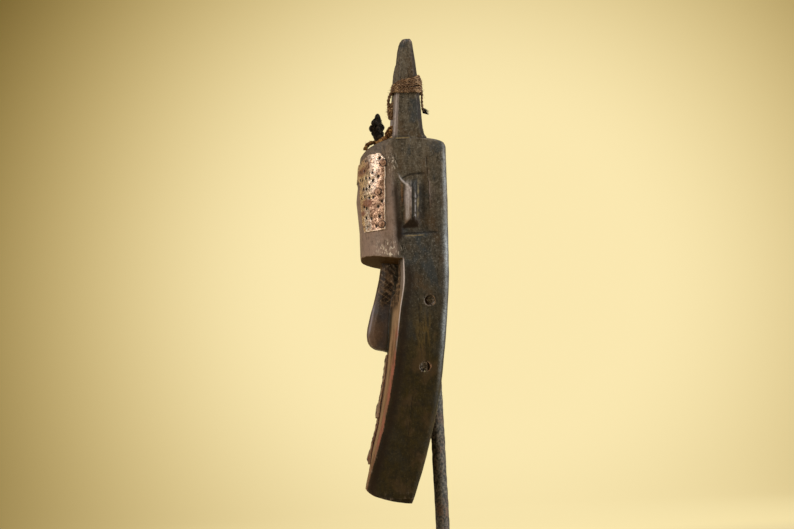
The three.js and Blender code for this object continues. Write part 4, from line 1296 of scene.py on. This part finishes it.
PEGS = [
    # node, side, shift in depth and height, radius, tilt of the break, seed
    ("peg_upper_left", 1, (1.2, 1.0), 4.0, (0.16, 0.10), 71),
    ("peg_lower_left", 1, (-1.6, 0.9), 3.6, (-0.55, 0.30), 72),
    ("peg_upper_right", -1, (0.3, -0.4), 4.9, (0.2, -0.2), 73),
    ("peg_lower_right", -1, (0.2, 0.5), 4.8, (-0.2, 0.2), 74),
]


def pegs(material):
    """Rebuilds each peg as a stub that has broken off in splinters."""
    for node, side, shift, radius, tilt, seed in PEGS:
        low, high = solid_box(node)
        middle = (low + high) / 2
        stub = added(f"broken_{node}", bpy.ops.mesh.primitive_circle_add, vertices=26, radius=radius * MM,
                     fill_type="TRIFAN")
        with editing(stub):
            bpy.ops.mesh.subdivide(number_cuts=5)
            extruded(7.5 * MM)
            facing_out()
        at = points_of(stub) / MM
        top = at[:, 2] > 3
        splinter = np.abs(waves(at * (1, 1, 0), (1.5, 1.1, 1), seed))
        broken = 2.4 * splinter + 0.9 * waves(at * (1, 1, 0), 3.2, seed + 5)
        at[:, 2] += (broken + tilt[0] * at[:, 0] + tilt[1] * at[:, 1] - 0.6) * top
        at[:, :2] *= 1 + 0.05 * waves(at, (1.6, 1.6, 9), seed + 9)[:, None]
        inner = middle[0] - side * (high[0] - low[0]) / 2
        world = np.stack([inner + side * at[:, 2], middle[1] + shift[0] + at[:, 0],
                          middle[2] + shift[1] + side * at[:, 1]], axis=1)
        reshape(stub, world * MM)
        mark(stub, broken=top)
        smoothed(stub, 32)
        finished(stub, material, "peg_wood", node)


def peg_finish():
    """Raw, splintered wood in a stub that has darkened."""
    f = Finish("Peg wood", {"Roughness": 0.8})
    grain = f.noise(0.8, 4.0, 0.6, stretch=(0.12, 1, 1))
    raw = f.mix(grain.between(0.3, 0.7), (0.035, 0.026, 0.018), (0.23, 0.19, 0.15))
    f.coat = f.mix(f.marked("broken"), (0.04, 0.028, 0.018), raw)
    return f.dressed(roughness=f.blend(grain, 0.65, 0.9), normal=f.bump(grain, 0.3))


# Cord and fibre

def smooth_path(stations, spacing):
    """Even points on a smooth curve through the stations, in millimetres."""
    s = np.asarray(stations, float)
    s = np.concatenate([[2 * s[0] - s[1]], s, [2 * s[-1] - s[-2]]])
    t = np.linspace(0, 1, 24, endpoint=False)[:, None]
    pieces = []
    for a, b, c, d in zip(s[:-3], s[1:-2], s[2:-1], s[3:]):
        pieces.append(0.5 * (2 * b + (c - a) * t + (2 * a - 5 * b + 4 * c - d) * t ** 2
                             + (3 * b - a - 3 * c + d) * t ** 3))
    dense = np.concatenate([*pieces, s[-2:-1]])
    way = way_along(dense)
    even = np.linspace(0, way[-1], max(3, round(way[-1] / spacing) + 1))
    return np.stack([np.interp(even, way, dense[:, k]) for k in range(3)], axis=1)


def frames_along(path):
    """Two directions across the path at each of its points, carried along without twisting."""
    ahead = np.gradient(path, axis=0)
    ahead /= np.linalg.norm(ahead, axis=1)[:, None]
    first = np.cross(ahead[0], (0.31, 0.22, 0.92))
    first /= np.linalg.norm(first)
    across = [first]
    for direction in ahead[1:]:
        kept = across[-1] - direction * (across[-1] @ direction)
        across.append(kept / np.linalg.norm(kept))
    across = np.array(across)
    return across, np.cross(ahead, across)


def tube_mesh(name, tubes, seat=BROW):
    """One mesh of closed tubes from a seat in millimetres, each given as (path, radius at each point,
    sides, twist), and perhaps how dark it is."""
    verts, faces, fibre, shade = [], [], [], []
    start = 0
    for path, radius, sides, twist, *dark in tubes:
        path = path + seat
        one, two = frames_along(path)
        way = way_along(path)
        turn = np.linspace(0, ROUND, sides, endpoint=False)
        ring = one[:, None] * np.cos(turn)[:, None] + two[:, None] * np.sin(turn)[:, None]
        verts.append((path[:, None] + ring * radius[:, None, None]).reshape(-1, 3))
        lay = turn - twist * way[:, None]
        fibre.append(np.stack([radius[:, None] * np.cos(lay), radius[:, None] * np.sin(lay),
                               0.07 * way[:, None] + 0 * lay + start * 0.13], axis=2).reshape(-1, 3))
        count = len(path)
        shade.append(np.full(count * sides, *(dark or [0.0])))
        i, k = np.meshgrid(np.arange(count - 1), np.arange(sides), indexing="ij")
        a = start + i * sides + k
        b = start + i * sides + (k + 1) % sides
        faces += np.stack([a, b, b + sides, a + sides], axis=2).reshape(-1, 4).tolist()
        faces.append([start + k for k in range(sides)][::-1])
        faces.append([start + (count - 1) * sides + k for k in range(sides)])
        start += count * sides
    mesh = bpy.data.meshes.new(name)
    mesh.from_pydata((np.concatenate(verts) * MM).tolist(), [], faces)
    mesh.update()
    piece = bpy.data.objects.new(name, mesh)
    bpy.context.scene.collection.objects.link(piece)
    mark(piece, fibre=np.concatenate(fibre), shade=np.concatenate(shade))
    smoothed(piece, 70)
    return piece


def twisted(path, thickness, strands, lay, seed, sides=7):
    """Tubes of a cord that is twisted from two or three strands."""
    one, two = frames_along(path)
    way = way_along(path)
    offset, radius = (0.235, 0.27) if strands == 2 else (0.26, 0.245)
    tubes = []
    for k in range(strands):
        turn = ROUND * (way / lay + k / strands)
        loose = 1 + 0.13 * waves(on_a_line(way, 31 * k), (5, 1, 1), seed)
        out = one * np.cos(turn)[:, None] + two * np.sin(turn)[:, None]
        thick = 1 + 0.10 * waves(on_a_line(way, 17 * k), (2.4, 1, 1), seed + 1)
        tubes.append((path + out * (thickness * offset * loose)[:, None], thickness * radius * thick,
                      sides, -ROUND / (lay * 0.9)))
    return tubes


def darkened(tubes, shade):
    return [(*tube, shade) for tube in tubes]


def stray_fibres(path, count, reach, seed):
    """Short loose hairs that stand off a cord."""
    one, two = frames_along(path)
    thin = 0.13
    t = np.linspace(0, 1, 6)[:, None]
    tubes = []
    for where, turn, length, lean, curl, side in drawn(6 * count, seed).reshape(count, 6):
        i = int(where * (len(path) - 2))
        ahead = path[i + 1] - path[i]
        ahead /= np.linalg.norm(ahead)
        out = one[i] * math.cos(ABOUT_ROUND * turn) + two[i] * math.sin(ABOUT_ROUND * turn)
        long = 2.0 + 4.5 * length
        stand = reach * 0.8 + long * 0.35 * t ** 1.4 * (0.3 + lean)
        at = path[i] + out * stand + ahead * long * t * (1 if side > 0.5 else -1)
        at = at + np.cross(out, ahead) * (curl - 0.5) * 2.4 * t ** 2
        tubes.append((at, np.linspace(thin, thin * 0.5, 6), 3, 0.0))
    return tubes


def round_horn(angle, z, reach):
    """A point beside the horn, which has nearly square corners."""
    edges = (HORN_OUTER, HORN_INNER, HORN_BACK, HORN_FRONT)
    outer, inner, rear, front = (along(edge, z) for edge in edges)
    across = (outer - inner) / 2 + reach
    deep = (rear - front) / 2 + reach
    side, back = np.cos(angle), np.sin(angle)
    squareness = 0.42
    return np.stack([(outer + inner) / 2 + across * np.sign(side) * np.abs(side) ** squareness,
                     (rear + front) / 2 + deep * np.sign(back) * np.abs(back) ** squareness, z], axis=1)


def binding_turns(seed):
    """Turns of cord that lie tight in front of the horn and fan out behind it."""
    turn = np.arange(0, 7.5, 1 / 18)
    angle = math.pi / 2 - ROUND * turn
    place = on_a_line(turn * 5)
    layers = [0, 4.2, 4.5, 7.5]
    front = np.interp(turn, layers, [197.2, 193.2, 192.2, 189.6])
    rear = np.interp(turn, layers, [206.6, 197.0, 194.2, 187.2])
    turned = np.interp(np.sin(angle), [-1, -0.7, 0, 0.75, 1], [0, 0.08, 0.62, 1.0, 0.35])
    z = front + (rear - front) * turned + 0.8 * waves(place, (1.7, 1, 1), seed)
    pile = 1.3 * (0.5 + 0.5 * waves(place, (2.3, 1, 1), seed + 1)) + 0.5 * (1 - np.sin(angle)) / 2
    return round_horn(angle, z, 1.3 + FIT + pile)


BACK_TAIL = [(63, 35.6, 203), (62.4, 36.4, 195), (61.8, 36.5, 187), (61.4, 36.2, 178), (61, 36.4, 171),
             (61, 37.6, 165.5)]
HANGING_LOOP = [(61, 2.6, 191), (60.4, 0.4, 187.5), (59.6, -1.4, 182), (59.4, -1.9, 174),
                (59.2, -2.0, 166), (59.4, -1.2, 161), (60.2, 0.6, 160.4), (60.4, 1.5, 164),
                (60.2, 1.1, 168.5), (60, -0.2, 171)]


def frayed_end(seed):
    """Dark, stiff hairs that stick out behind at the lower end of the tail."""
    t = np.linspace(0, 1, 6)[:, None]
    hairs = []
    for start, sideways, long, wild in drawn(160, seed).reshape(40, 4):
        root = np.array([61 + 3 * (sideways - 0.5), 36.6, 170.5 - 5.5 * start])
        ahead = np.array([1.6 * (sideways - 0.5), 3.2 + 4.2 * long, -2.4 * long + 1.4 * (wild - 0.4)])
        hair = root + ahead * t + np.array([0, 0, -1.6 * wild]) * t ** 2
        hairs.append((hair, np.linspace(0.42, 0.12, 6), 4, 0.0, 0.92))
    return hairs


def bindings(fibre, material):
    """Winds both horns in two layers of cord, with a tail behind, and a loop in front on the left."""
    thickness = fibre.cord_thickness / MM
    for right, name, seed in ((False, "left", 81), (True, "right", 91)):
        # Each length of cord with its share of the thickness, and how dark it is
        lines = [(binding_turns(seed), 0.78, 0.0), (binding_turns(seed + 40), 0.5, 0.35),
                 (BACK_TAIL, 0.85, 0.2)]
        if not right:
            lines.append((HANGING_LOOP, 1.1, 0.0))
        tubes = []
        for line, share, dark in lines:
            path = smooth_path(line, 0.9)
            path = path + 0.25 * unsteady(path, 5, seed)
            tubes += darkened(twisted(path, thickness * share, strands=2, lay=8.0, seed=seed), dark)
            tubes += stray_fibres(path, round(len(path) * 0.45), thickness * share / 2, seed + 5)
        tubes += frayed_end(seed + 7)
        if right:
            turned = np.array([-1.0, 1.0, 1.0])
            tubes = [(at * turned - (0, RIGHT_HORN_FORWARD, 0), *rest) for at, *rest in tubes]
        piece = tube_mesh(f"twisted_binding_{name}", tubes)
        if right:
            with editing(piece):
                facing_out()
        finished(piece, material, "cord_fibre", f"horn_binding_{name}")


CROWN_LINE = [(43, 12, 153.4), (40.2, 8, 152), (37.5, 1.5, 150.4), (34, -2.8, 146.8), (28, -5.6, 144.4),
              (16, -10, 143.4), (8, -12.6, 143), (2, -13.2, 143)]
CROWN_END = [(0, -10, 142.8), (0, -13, 143.2), (0, -19, 144.2), (0, -24.6, 143.2), (0, -28.2, 140),
             (0, -29.6, 136)]


def crown_rope(fibre, material):
    """The rope between the horns, its knot, and the short end that arches over the forehead."""
    thickness = fibre.rope_thickness / MM
    path = smooth_path([*CROWN_LINE, *[(-x, y, z) for x, y, z in CROWN_LINE[::-1]]], 0.8)
    path = path + 0.3 * unsteady(path, 7, 101)
    tubes = twisted(path, thickness, strands=3, lay=14.0, seed=103, sides=8)
    tubes += stray_fibres(path, 120, thickness / 2, 104)
    turn = np.linspace(0, 4.4 * math.pi, 60)
    knot = np.stack([3.4 * np.cos(turn) * (1 + 0.1 * np.sin(2 * turn)), -13.1 + 3.1 * np.sin(turn),
                     142.8 + 2.0 * np.sin(turn * 0.5) + 0.8 * np.cos(turn * 1.5)], axis=1)
    tubes += twisted(smooth_path(knot, 0.8), thickness * 0.75, strands=2, lay=10.0, seed=105)
    turn = np.linspace(0, 4.0 * math.pi, 50)
    for side in (1, -1):
        hitch = np.stack([side * (36.5 - 1.2 * np.sin(turn)),
                          0.6 + 2.9 * np.cos(turn) + 1.3 * np.sin(turn) - 0.32 * turn,
                          152.2 + 3.7 * np.sin(turn) - 0.42 * turn], axis=1)
        tubes += twisted(smooth_path(hitch, 0.8), thickness * 0.6, strands=2, lay=9.0, seed=108)
    end = smooth_path(CROWN_END, 0.8)
    strands = twisted(end, thickness * 0.86, strands=2, lay=10.0, seed=106, sides=8)
    tubes += darkened(strands, 0.35) + darkened(stray_fibres(end, 20, thickness * 0.4, 107), 0.5)
    finished(tube_mesh("twisted_crown_rope", tubes), material, "cord_fibre", "crown_rope")


TUFT_SEAT = np.array([0.0, -15.0, 145.5])
# The tuft's core, as (height over its seat, depth of its middle, radius)
TUFT_CORE = [(-1, 2.2, 5.0), (2.5, 2.2, 5.4), (6, 1.6, 5.8), (10, 0.4, 6.4), (14, 0.2, 7.4),
             (17.5, 0.6, 6.4), (21.5, 1.1, 5.0), (26, 1.4, 4.0), (29.5, 1.4, 2.9), (31.4, 1.2, 1.2)]
# Its lumps, as (side, depth, low end, high end, radius)
TUFT_LUMPS = [(2.5, -6.4, 11, 19, 2.6), (-2, 6.6, 13, 20, 2.4), (4, -3.4, 17, 25, 3.0),
              (-3, -3.6, 7, 14, 3.0), (3, 5.0, 5, 12, 2.8), (1, 1.6, 25, 32.5, 3.2), (6, 1, 10, 17, 2.8),
              (-6, 1, 8, 16, 2.8), (4.5, 2.4, 1, 8, 3.0), (5, -1, 18, 24, 2.6)]


def crown_tuft(fibre, material):
    """A knot of matted fibre: many short curved hairs round a lumpy core."""
    heights, middles, radii = np.array(TUFT_CORE).T
    spine = smooth_path([(0, y, h) for h, y, _ in TUFT_CORE], 0.7)
    spine[:, 0] += 0.5 * waves(spine, 5, 115)
    core = np.interp(spine[:, 2], heights, radii) * (0.95 + 0.07 * waves(spine, 3, 116))
    tubes = [(spine, core, 18, 0.0)]
    for x, y, low, high, radius in TUFT_LUMPS:
        lump = smooth_path([(x, y, low), (x * 1.06, y * 1.06, (low + high) / 2), (x, y, high)], 0.8)
        bulge = np.sin(np.linspace(0.15, 0.9, len(lump)) * math.pi)
        tubes.append((lump, radius * bulge, 10, 0.0))
    t = np.linspace(0, 1, 7)
    chance = drawn(8 * fibre.hairs, 111).reshape(fibre.hairs, 8)
    for start, turn, long, swirl, lean, out, thick, wild in chance:
        low = 27 * start
        h = np.linspace(low, min(31, low + 2 + 4 * long), 7)
        around = ABOUT_ROUND * turn + (swirl - 0.5) * 2.6 * t
        stand = np.interp(h, heights, radii) * (0.88 + 0.16 * out) + 1.3 * wild ** 3 * t ** 2
        middle = np.interp(h, heights, middles)
        at = np.stack([stand * np.cos(around), middle + stand * np.sin(around), h + (lean - 0.5) * 3 * t],
                      axis=1)
        at = at + 0.5 * unsteady(at + 40 * thick, 3, 112)
        tubes.append((at, np.linspace(0.55, 0.25, 7) * (0.6 + 0.9 * thick), 4, 0.0))
    piece = tube_mesh("matted_tuft", [(at + TUFT_SEAT, *rest) for at, *rest in tubes])
    finished(piece, material, "dark_fibre", "crown_tuft")


def fibre_finish(name, base, highlight_tone, gap_shade_tone):
    """Twisted plant fibre, whose threads follow the lay of the strand, with painted highlights and shade
    between the threads.
    """
    f = Finish(name, {"Roughness": 0.9, "Specular IOR Level": 0.12})
    lay = f.marked("fibre", out="Vector")
    thread = f.noise(0.32, 3.0, 0.6, where=lay)
    strand = f.noise(1.5, 2.0, 0.6, where=lay)
    # Darker threads are painted shade between the threads, and lighter ones painted highlights
    f.coat = f.mix(thread.between(0.36, 0.70), gap_shade_tone, base)
    f.paint((thread * 0.6 + f.noise(6.0) * 0.6).between(0.55, 0.85), highlight_tone)
    f.paint(f.marked("shade").between(0.0, 1.0), (0.006, 0.004, 0.003))
    return f.dressed(roughness=f.blend(strand, 0.75, 0.98),
                     normal=f.bump(thread * 0.8 + strand * 0.5, 0.35))


# The stand

ROD_DEPTH = 30.0
ROD_RADIUS = 7.85
RING_HEIGHT = 3
WELD_HEIGHT = 190
FOOT_THICKNESS = 18
FOOT_FACES = 26000
BEAD_RADIUS, BEAD_THICKNESS, BEAD_HEIGHT = 8.9, 1.9, 26.4


def stand_rod(material):
    """The iron bar, with its forged skin and a rough weld under the chin."""
    low, high = solid_box("stand_rod")
    tall = high[2] - low[2]
    axis = (low[1] + high[1]) / 2
    bar = added("pitted_rod", bpy.ops.mesh.primitive_circle_add, vertices=48, radius=ROD_RADIUS * MM,
                fill_type="NGON")
    rings = round(tall / RING_HEIGHT)
    with editing(bar):
        for _ in range(rings):
            extruded(tall / rings * MM)
        facing_out()
    at = points_of(bar) / MM
    at += (0, axis, low[2])
    out = at - (0, axis, 0)
    out[:, 2] = 0
    out /= np.maximum(np.linalg.norm(out, axis=1), 1e-6)[:, None]
    skin = 0.2 * rough(at, (9, 9, 26), 121) - 0.45 * rising(waves(at, (3.4, 3.4, 4.6), 122), 0.25, 0.7)
    skin += 0.2 * waves(at, (2.2, 2.2, 4.4), 123)
    weld = hump(at[:, 2], WELD_HEIGHT, 9) * (0.4 + 0.8 * waves(at, 4, 124))
    outer = np.hypot(at[:, 0], at[:, 1] - axis) > ROD_RADIUS / 2
    at = at + out * ((skin + weld) * outer)[:, None]
    reshape(bar, at * MM)
    smoothed(bar, 50)
    finished(bar, material, "stand_iron", "stand_rod")


def foot_plate():
    """The foot's plate, with round corners, rolled edges and a forged skin."""
    low, high = solid_box("stand_foot")
    plate = added("iron_foot", bpy.ops.mesh.primitive_cube_add, size=1,
                  location=(0, 0, FOOT_THICKNESS / 2 * MM))
    plate.scale = ((high[0] - low[0]) * MM, (high[1] - low[1]) * MM, FOOT_THICKNESS * MM)
    placed(plate)
    with editing(plate, everything=False):
        bpy.ops.mesh.select_all(action="DESELECT")
    pick_edges(plate, lambda a, b: abs(a[2] - b[2]) > MM)
    with editing(plate, everything=False):
        bpy.ops.mesh.select_mode(type="EDGE")
        bpy.ops.mesh.bevel(offset=8 * MM, segments=6, affect="EDGES")
    refined(plate, "BEVEL", width=1.8 * MM, segments=3, limit_method="ANGLE",
            angle_limit=math.radians(50))
    refined(plate, "TRIANGULATE")
    plate.data.remesh_voxel_size = 1.6 * MM
    choose(plate)
    bpy.ops.object.voxel_remesh()
    at = points_of(plate) / MM
    skin = 0.16 * rough(at, 16, 131) - 0.25 * rising(waves(at, 3.2, 132), 0.45, 0.85) - 0.1
    above = at[:, 2] >= 0.8
    reshape(plate, (at + normals_of(plate) * (skin * above)[:, None]) * MM)
    refined(plate, "TRIANGULATE")
    refined(plate, "DECIMATE", ratio=min(1.0, FOOT_FACES / len(plate.data.polygons)))
    return plate


def stand_foot(material):
    """The plate, the boss and the bead of weld round the bar."""
    plate = foot_plate()
    boss = added("boss", bpy.ops.mesh.primitive_cone_add, vertices=56, radius1=17 * MM, radius2=14 * MM,
                 depth=10 * MM, location=(0, ROD_DEPTH * MM, 21 * MM))
    placed(boss)
    refined(boss, "BEVEL", width=1.6 * MM, segments=4, limit_method="ANGLE")
    bead = added("bead", bpy.ops.mesh.primitive_torus_add,
                 location=(0, ROD_DEPTH * MM, BEAD_HEIGHT * MM), major_radius=BEAD_RADIUS * MM,
                 minor_radius=BEAD_THICKNESS * MM, major_segments=72, minor_segments=12)
    placed(bead)
    at = points_of(bead) / MM
    turn = np.arctan2(at[:, 1] - ROD_DEPTH, at[:, 0])
    ripple = 1 + 0.16 * np.sin(turn * 22 + 1.2 * np.sin(turn * 3))
    middle = np.stack([BEAD_RADIUS * np.cos(turn), ROD_DEPTH + BEAD_RADIUS * np.sin(turn),
                       0 * turn + BEAD_HEIGHT], axis=1)
    reshape(bead, (middle + (at - middle) * ripple[:, None]) * MM)
    foot = joined([plate, boss, bead], "iron_foot")
    smoothed(foot, 40)
    finished(foot, material, "stand_iron", "stand_foot")


def iron_finish(metal):
    """Blackened iron with paler patches that are partly wear and partly painted highlights, rusty
    patches, and a pitted skin.
    """
    f = Finish("Stand iron", {"Metallic": 0.4, "Roughness": 0.6})
    broad = f.noise(22, 4.0, 0.6)
    pit = f.noise(2.6, 4.0, 0.65)
    fine = f.noise(0.8, 3.0, 0.6)
    # The paler pits are partly worn iron and partly painted highlights
    f.coat = f.mix(pit.between(0.40, 0.66), metal.iron, (0.150, 0.128, 0.095))
    f.paint((broad * 0.6 + pit * 0.5).between(0.54, 0.70) * 0.7, (0.105, 0.048, 0.022))
    return f.dressed(roughness=f.blend(pit, 0.46, 0.8), normal=f.bump(pit * 0.8 + fine * 0.3, 1.0))


# The stage

# Where the lights point, and where the middle of the pool of light is, over the floor
LIT_HEIGHT = 0.40
POOL_HEIGHT = 790


def backdrop(stage):
    """A pale round floor that sweeps up into the backdrop."""
    bowl = added("backdrop", bpy.ops.mesh.primitive_circle_add, vertices=128, radius=stage.bowl_radius,
                 fill_type="NGON")
    with editing(bowl):
        bpy.ops.mesh.flip_normals()
        extruded(3.6)
        bpy.ops.mesh.delete(type="ONLY_FACE")
    pick_edges(bowl, lambda a, b: max(a[2], b[2]) < 0.01)
    with editing(bowl, everything=False):
        bpy.ops.mesh.select_mode(type="EDGE")
        bpy.ops.mesh.bevel(offset=1.3, segments=16, affect="EDGES")
        bpy.ops.mesh.select_all(action="SELECT")
        bpy.ops.mesh.normals_make_consistent(inside=True)
    smoothed(bowl, 60)
    bowl.data.materials.append(backdrop_finish(stage))


def backdrop_finish(stage):
    """Pale paper that glows with a painted pool of light on the side that stands behind the mask."""
    f = Finish("Backdrop", {"Roughness": 0.95, "Emission Strength": 1.0, "Specular IOR Level": 0.1})
    pool = f.from_side(390, POOL_HEIGHT).between(2360, 560)
    behind = f.axis("X").between(-400, -1600)
    warm = f.mix(pool, stage.edge, stage.lit)
    glow = f.mix(behind, stage.unlit, f.mix(pool, (0, 0, 0), warm))
    f.coat = f.mix(behind, stage.paper, stage.dim)
    return f.dressed(emission_color=glow)


def soft_light(name, place, size, watts, tone):
    """A rectangular light that shines on the mask."""
    deselect()
    bpy.ops.object.light_add(type="AREA", location=place)
    light = bpy.context.object
    light.name = name
    light.data.shape = "RECTANGLE"
    light.data.size, light.data.size_y = size
    light.data.energy = watts
    light.data.color = tone
    light.visible_camera = False
    way = Vector((0, 0, LIT_HEIGHT)) - Vector(place)
    light.rotation_euler = way.to_track_quat("-Z", "Y").to_euler()


def camera(stage):
    """The camera of the photograph, which looks up a little at the mask's left side."""
    deselect()
    bpy.ops.object.camera_add()
    view = bpy.context.object
    view.name = "camera"
    view.data.lens = stage.focal_length
    view.data.sensor_width = 36.0
    view.data.sensor_fit = "HORIZONTAL"
    view.data.clip_end = 50.0
    around, up = stage.azimuth, stage.elevation
    back = Vector((math.sin(around) * math.cos(up), -math.cos(around) * math.cos(up), math.sin(up)))
    level = (-back).cross(Vector((0, 0, 1))).normalized()
    above = level.cross(-back)
    right = level * math.cos(stage.roll) - above * math.sin(stage.roll)
    top = level * math.sin(stage.roll) + above * math.cos(stage.roll)
    seat = Vector((0, BROW[1] * MM, BROW[2] * MM)) + back * stage.distance
    turn = Matrix((right, top, back)).transposed().to_4x4()
    view.matrix_world = Matrix.Translation(seat) @ turn
    bpy.context.scene.camera = view


class TOMA_OT_stage(Operator):
    """Set up the camera, the lights, the floor and the backdrop"""
    bl_idname = "toma.stage"
    bl_label = "Stage"

    def execute(self, context):
        stage = context.scene.toma_stage
        camera(stage)
        backdrop(stage)
        soft_light("key", (0.75, -2.0, 1.35), (1.5, 1.5), stage.key_power, (1.0, 0.96, 0.90))
        soft_light("rim", (0.6, 2.0, 0.85), (0.9, 1.6), stage.rim_power, (0.84, 0.92, 1.0))
        soft_light("top", (0.2, 0.1, 2.4), (1.4, 1.4), stage.top_power, (1.0, 0.97, 0.93))
        world = bpy.data.worlds.new("Studio")
        context.scene.world = world
        world.use_nodes = True
        sky = next(n for n in world.node_tree.nodes if n.type == "BACKGROUND")
        sky.inputs["Color"].default_value = (1.0, 0.93, 0.80, 1.0)
        sky.inputs["Strength"].default_value = 0.35
        context.scene.view_settings.view_transform = "Standard"
        return {"FINISHED"}


class TOMA_OT_mask(Operator):
    """Carve the wooden mask over its plain solid"""
    bl_idname = "toma.mask"
    bl_label = "Mask"

    def execute(self, context):
        wood = context.scene.toma_wood
        finished(carve_mask(wood), wood_finish(wood), "carved_wood", "mask")
        return {"FINISHED"}


class TOMA_OT_sheets(Operator):
    """Punch, dent and bend the sheet metal of the forehead and the lower face"""
    bl_idname = "toma.sheets"
    bl_label = "Sheet metal"

    def execute(self, context):
        metal = context.scene.toma_metal
        forehead_plate(metal, forehead_finish(metal))
        material = face_finish(metal)
        for strip in FACE_STRIPS:
            face_strip(metal, material, *strip)
        return {"FINISHED"}


class TOMA_OT_nails(Operator):
    """Drive the nails into the sheet metal"""
    bl_idname = "toma.nails"
    bl_label = "Nails"

    def execute(self, context):
        nails(nail_finish(context.scene.toma_metal))
        return {"FINISHED"}


class TOMA_OT_pegs(Operator):
    """Break off the pegs in the side holes"""
    bl_idname = "toma.pegs"
    bl_label = "Pegs"

    def execute(self, context):
        pegs(peg_finish())
        return {"FINISHED"}


class TOMA_OT_bindings(Operator):
    """Wind the twisted cord round both horns"""
    bl_idname = "toma.bindings"
    bl_label = "Horn bindings"

    def execute(self, context):
        fibre = context.scene.toma_fibre
        material = fibre_finish("Cord fibre", fibre.cord, (0.66, 0.43, 0.24), (0.028, 0.014, 0.008))
        bindings(fibre, material)
        return {"FINISHED"}


class TOMA_OT_crown(Operator):
    """Lay the rope over the crown and tie the tuft to it"""
    bl_idname = "toma.crown"
    bl_label = "Crown rope and tuft"

    def execute(self, context):
        fibre = context.scene.toma_fibre
        rope = fibre_finish("Rope fibre", fibre.rope, (0.60, 0.34, 0.10), (0.035, 0.014, 0.006))
        crown_rope(fibre, rope)
        dark = fibre_finish("Dark fibre", fibre.tuft, (0.050, 0.033, 0.016), (0.004, 0.003, 0.002))
        crown_tuft(fibre, dark)
        return {"FINISHED"}


class TOMA_OT_stand(Operator):
    """Forge the iron bar and its foot"""
    bl_idname = "toma.stand"
    bl_label = "Stand"

    def execute(self, context):
        material = iron_finish(context.scene.toma_metal)
        stand_rod(material)
        stand_foot(material)
        return {"FINISHED"}


class TOMA_PT_panel(Panel):
    """Lists every step of the mask in the order in which they are taken"""
    bl_idname = "TOMA_PT_panel"
    bl_label = "Toma Mask"
    bl_space_type = "VIEW_3D"
    bl_region_type = "UI"
    bl_category = "Toma Mask"

    def draw(self, context):
        for step in STEPS:
            self.layout.operator(step.bl_idname)


STEPS = [TOMA_OT_stage, TOMA_OT_mask, TOMA_OT_sheets, TOMA_OT_nails, TOMA_OT_pegs, TOMA_OT_bindings,
         TOMA_OT_crown, TOMA_OT_stand]
SETTINGS = {"toma_stage": StageSettings, "toma_wood": WoodSettings, "toma_metal": MetalSettings,
            "toma_fibre": FibreSettings}


def register():
    for group in SETTINGS.values():
        bpy.utils.register_class(group)
    for step in STEPS:
        bpy.utils.register_class(step)
    bpy.utils.register_class(TOMA_PT_panel)
    for name, group in SETTINGS.items():
        setattr(bpy.types.Scene, name, PointerProperty(type=group))


def unregister():
    for name in SETTINGS:
        delattr(bpy.types.Scene, name)
    bpy.utils.unregister_class(TOMA_PT_panel)
    for step in reversed(STEPS):
        bpy.utils.unregister_class(step)
    for group in SETTINGS.values():
        bpy.utils.unregister_class(group)


def main():
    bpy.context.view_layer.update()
    register()
    for step in STEPS:
        group, name = step.bl_idname.split(".")
        getattr(getattr(bpy.ops, group), name)()


if __name__ == "__main__":
    main()
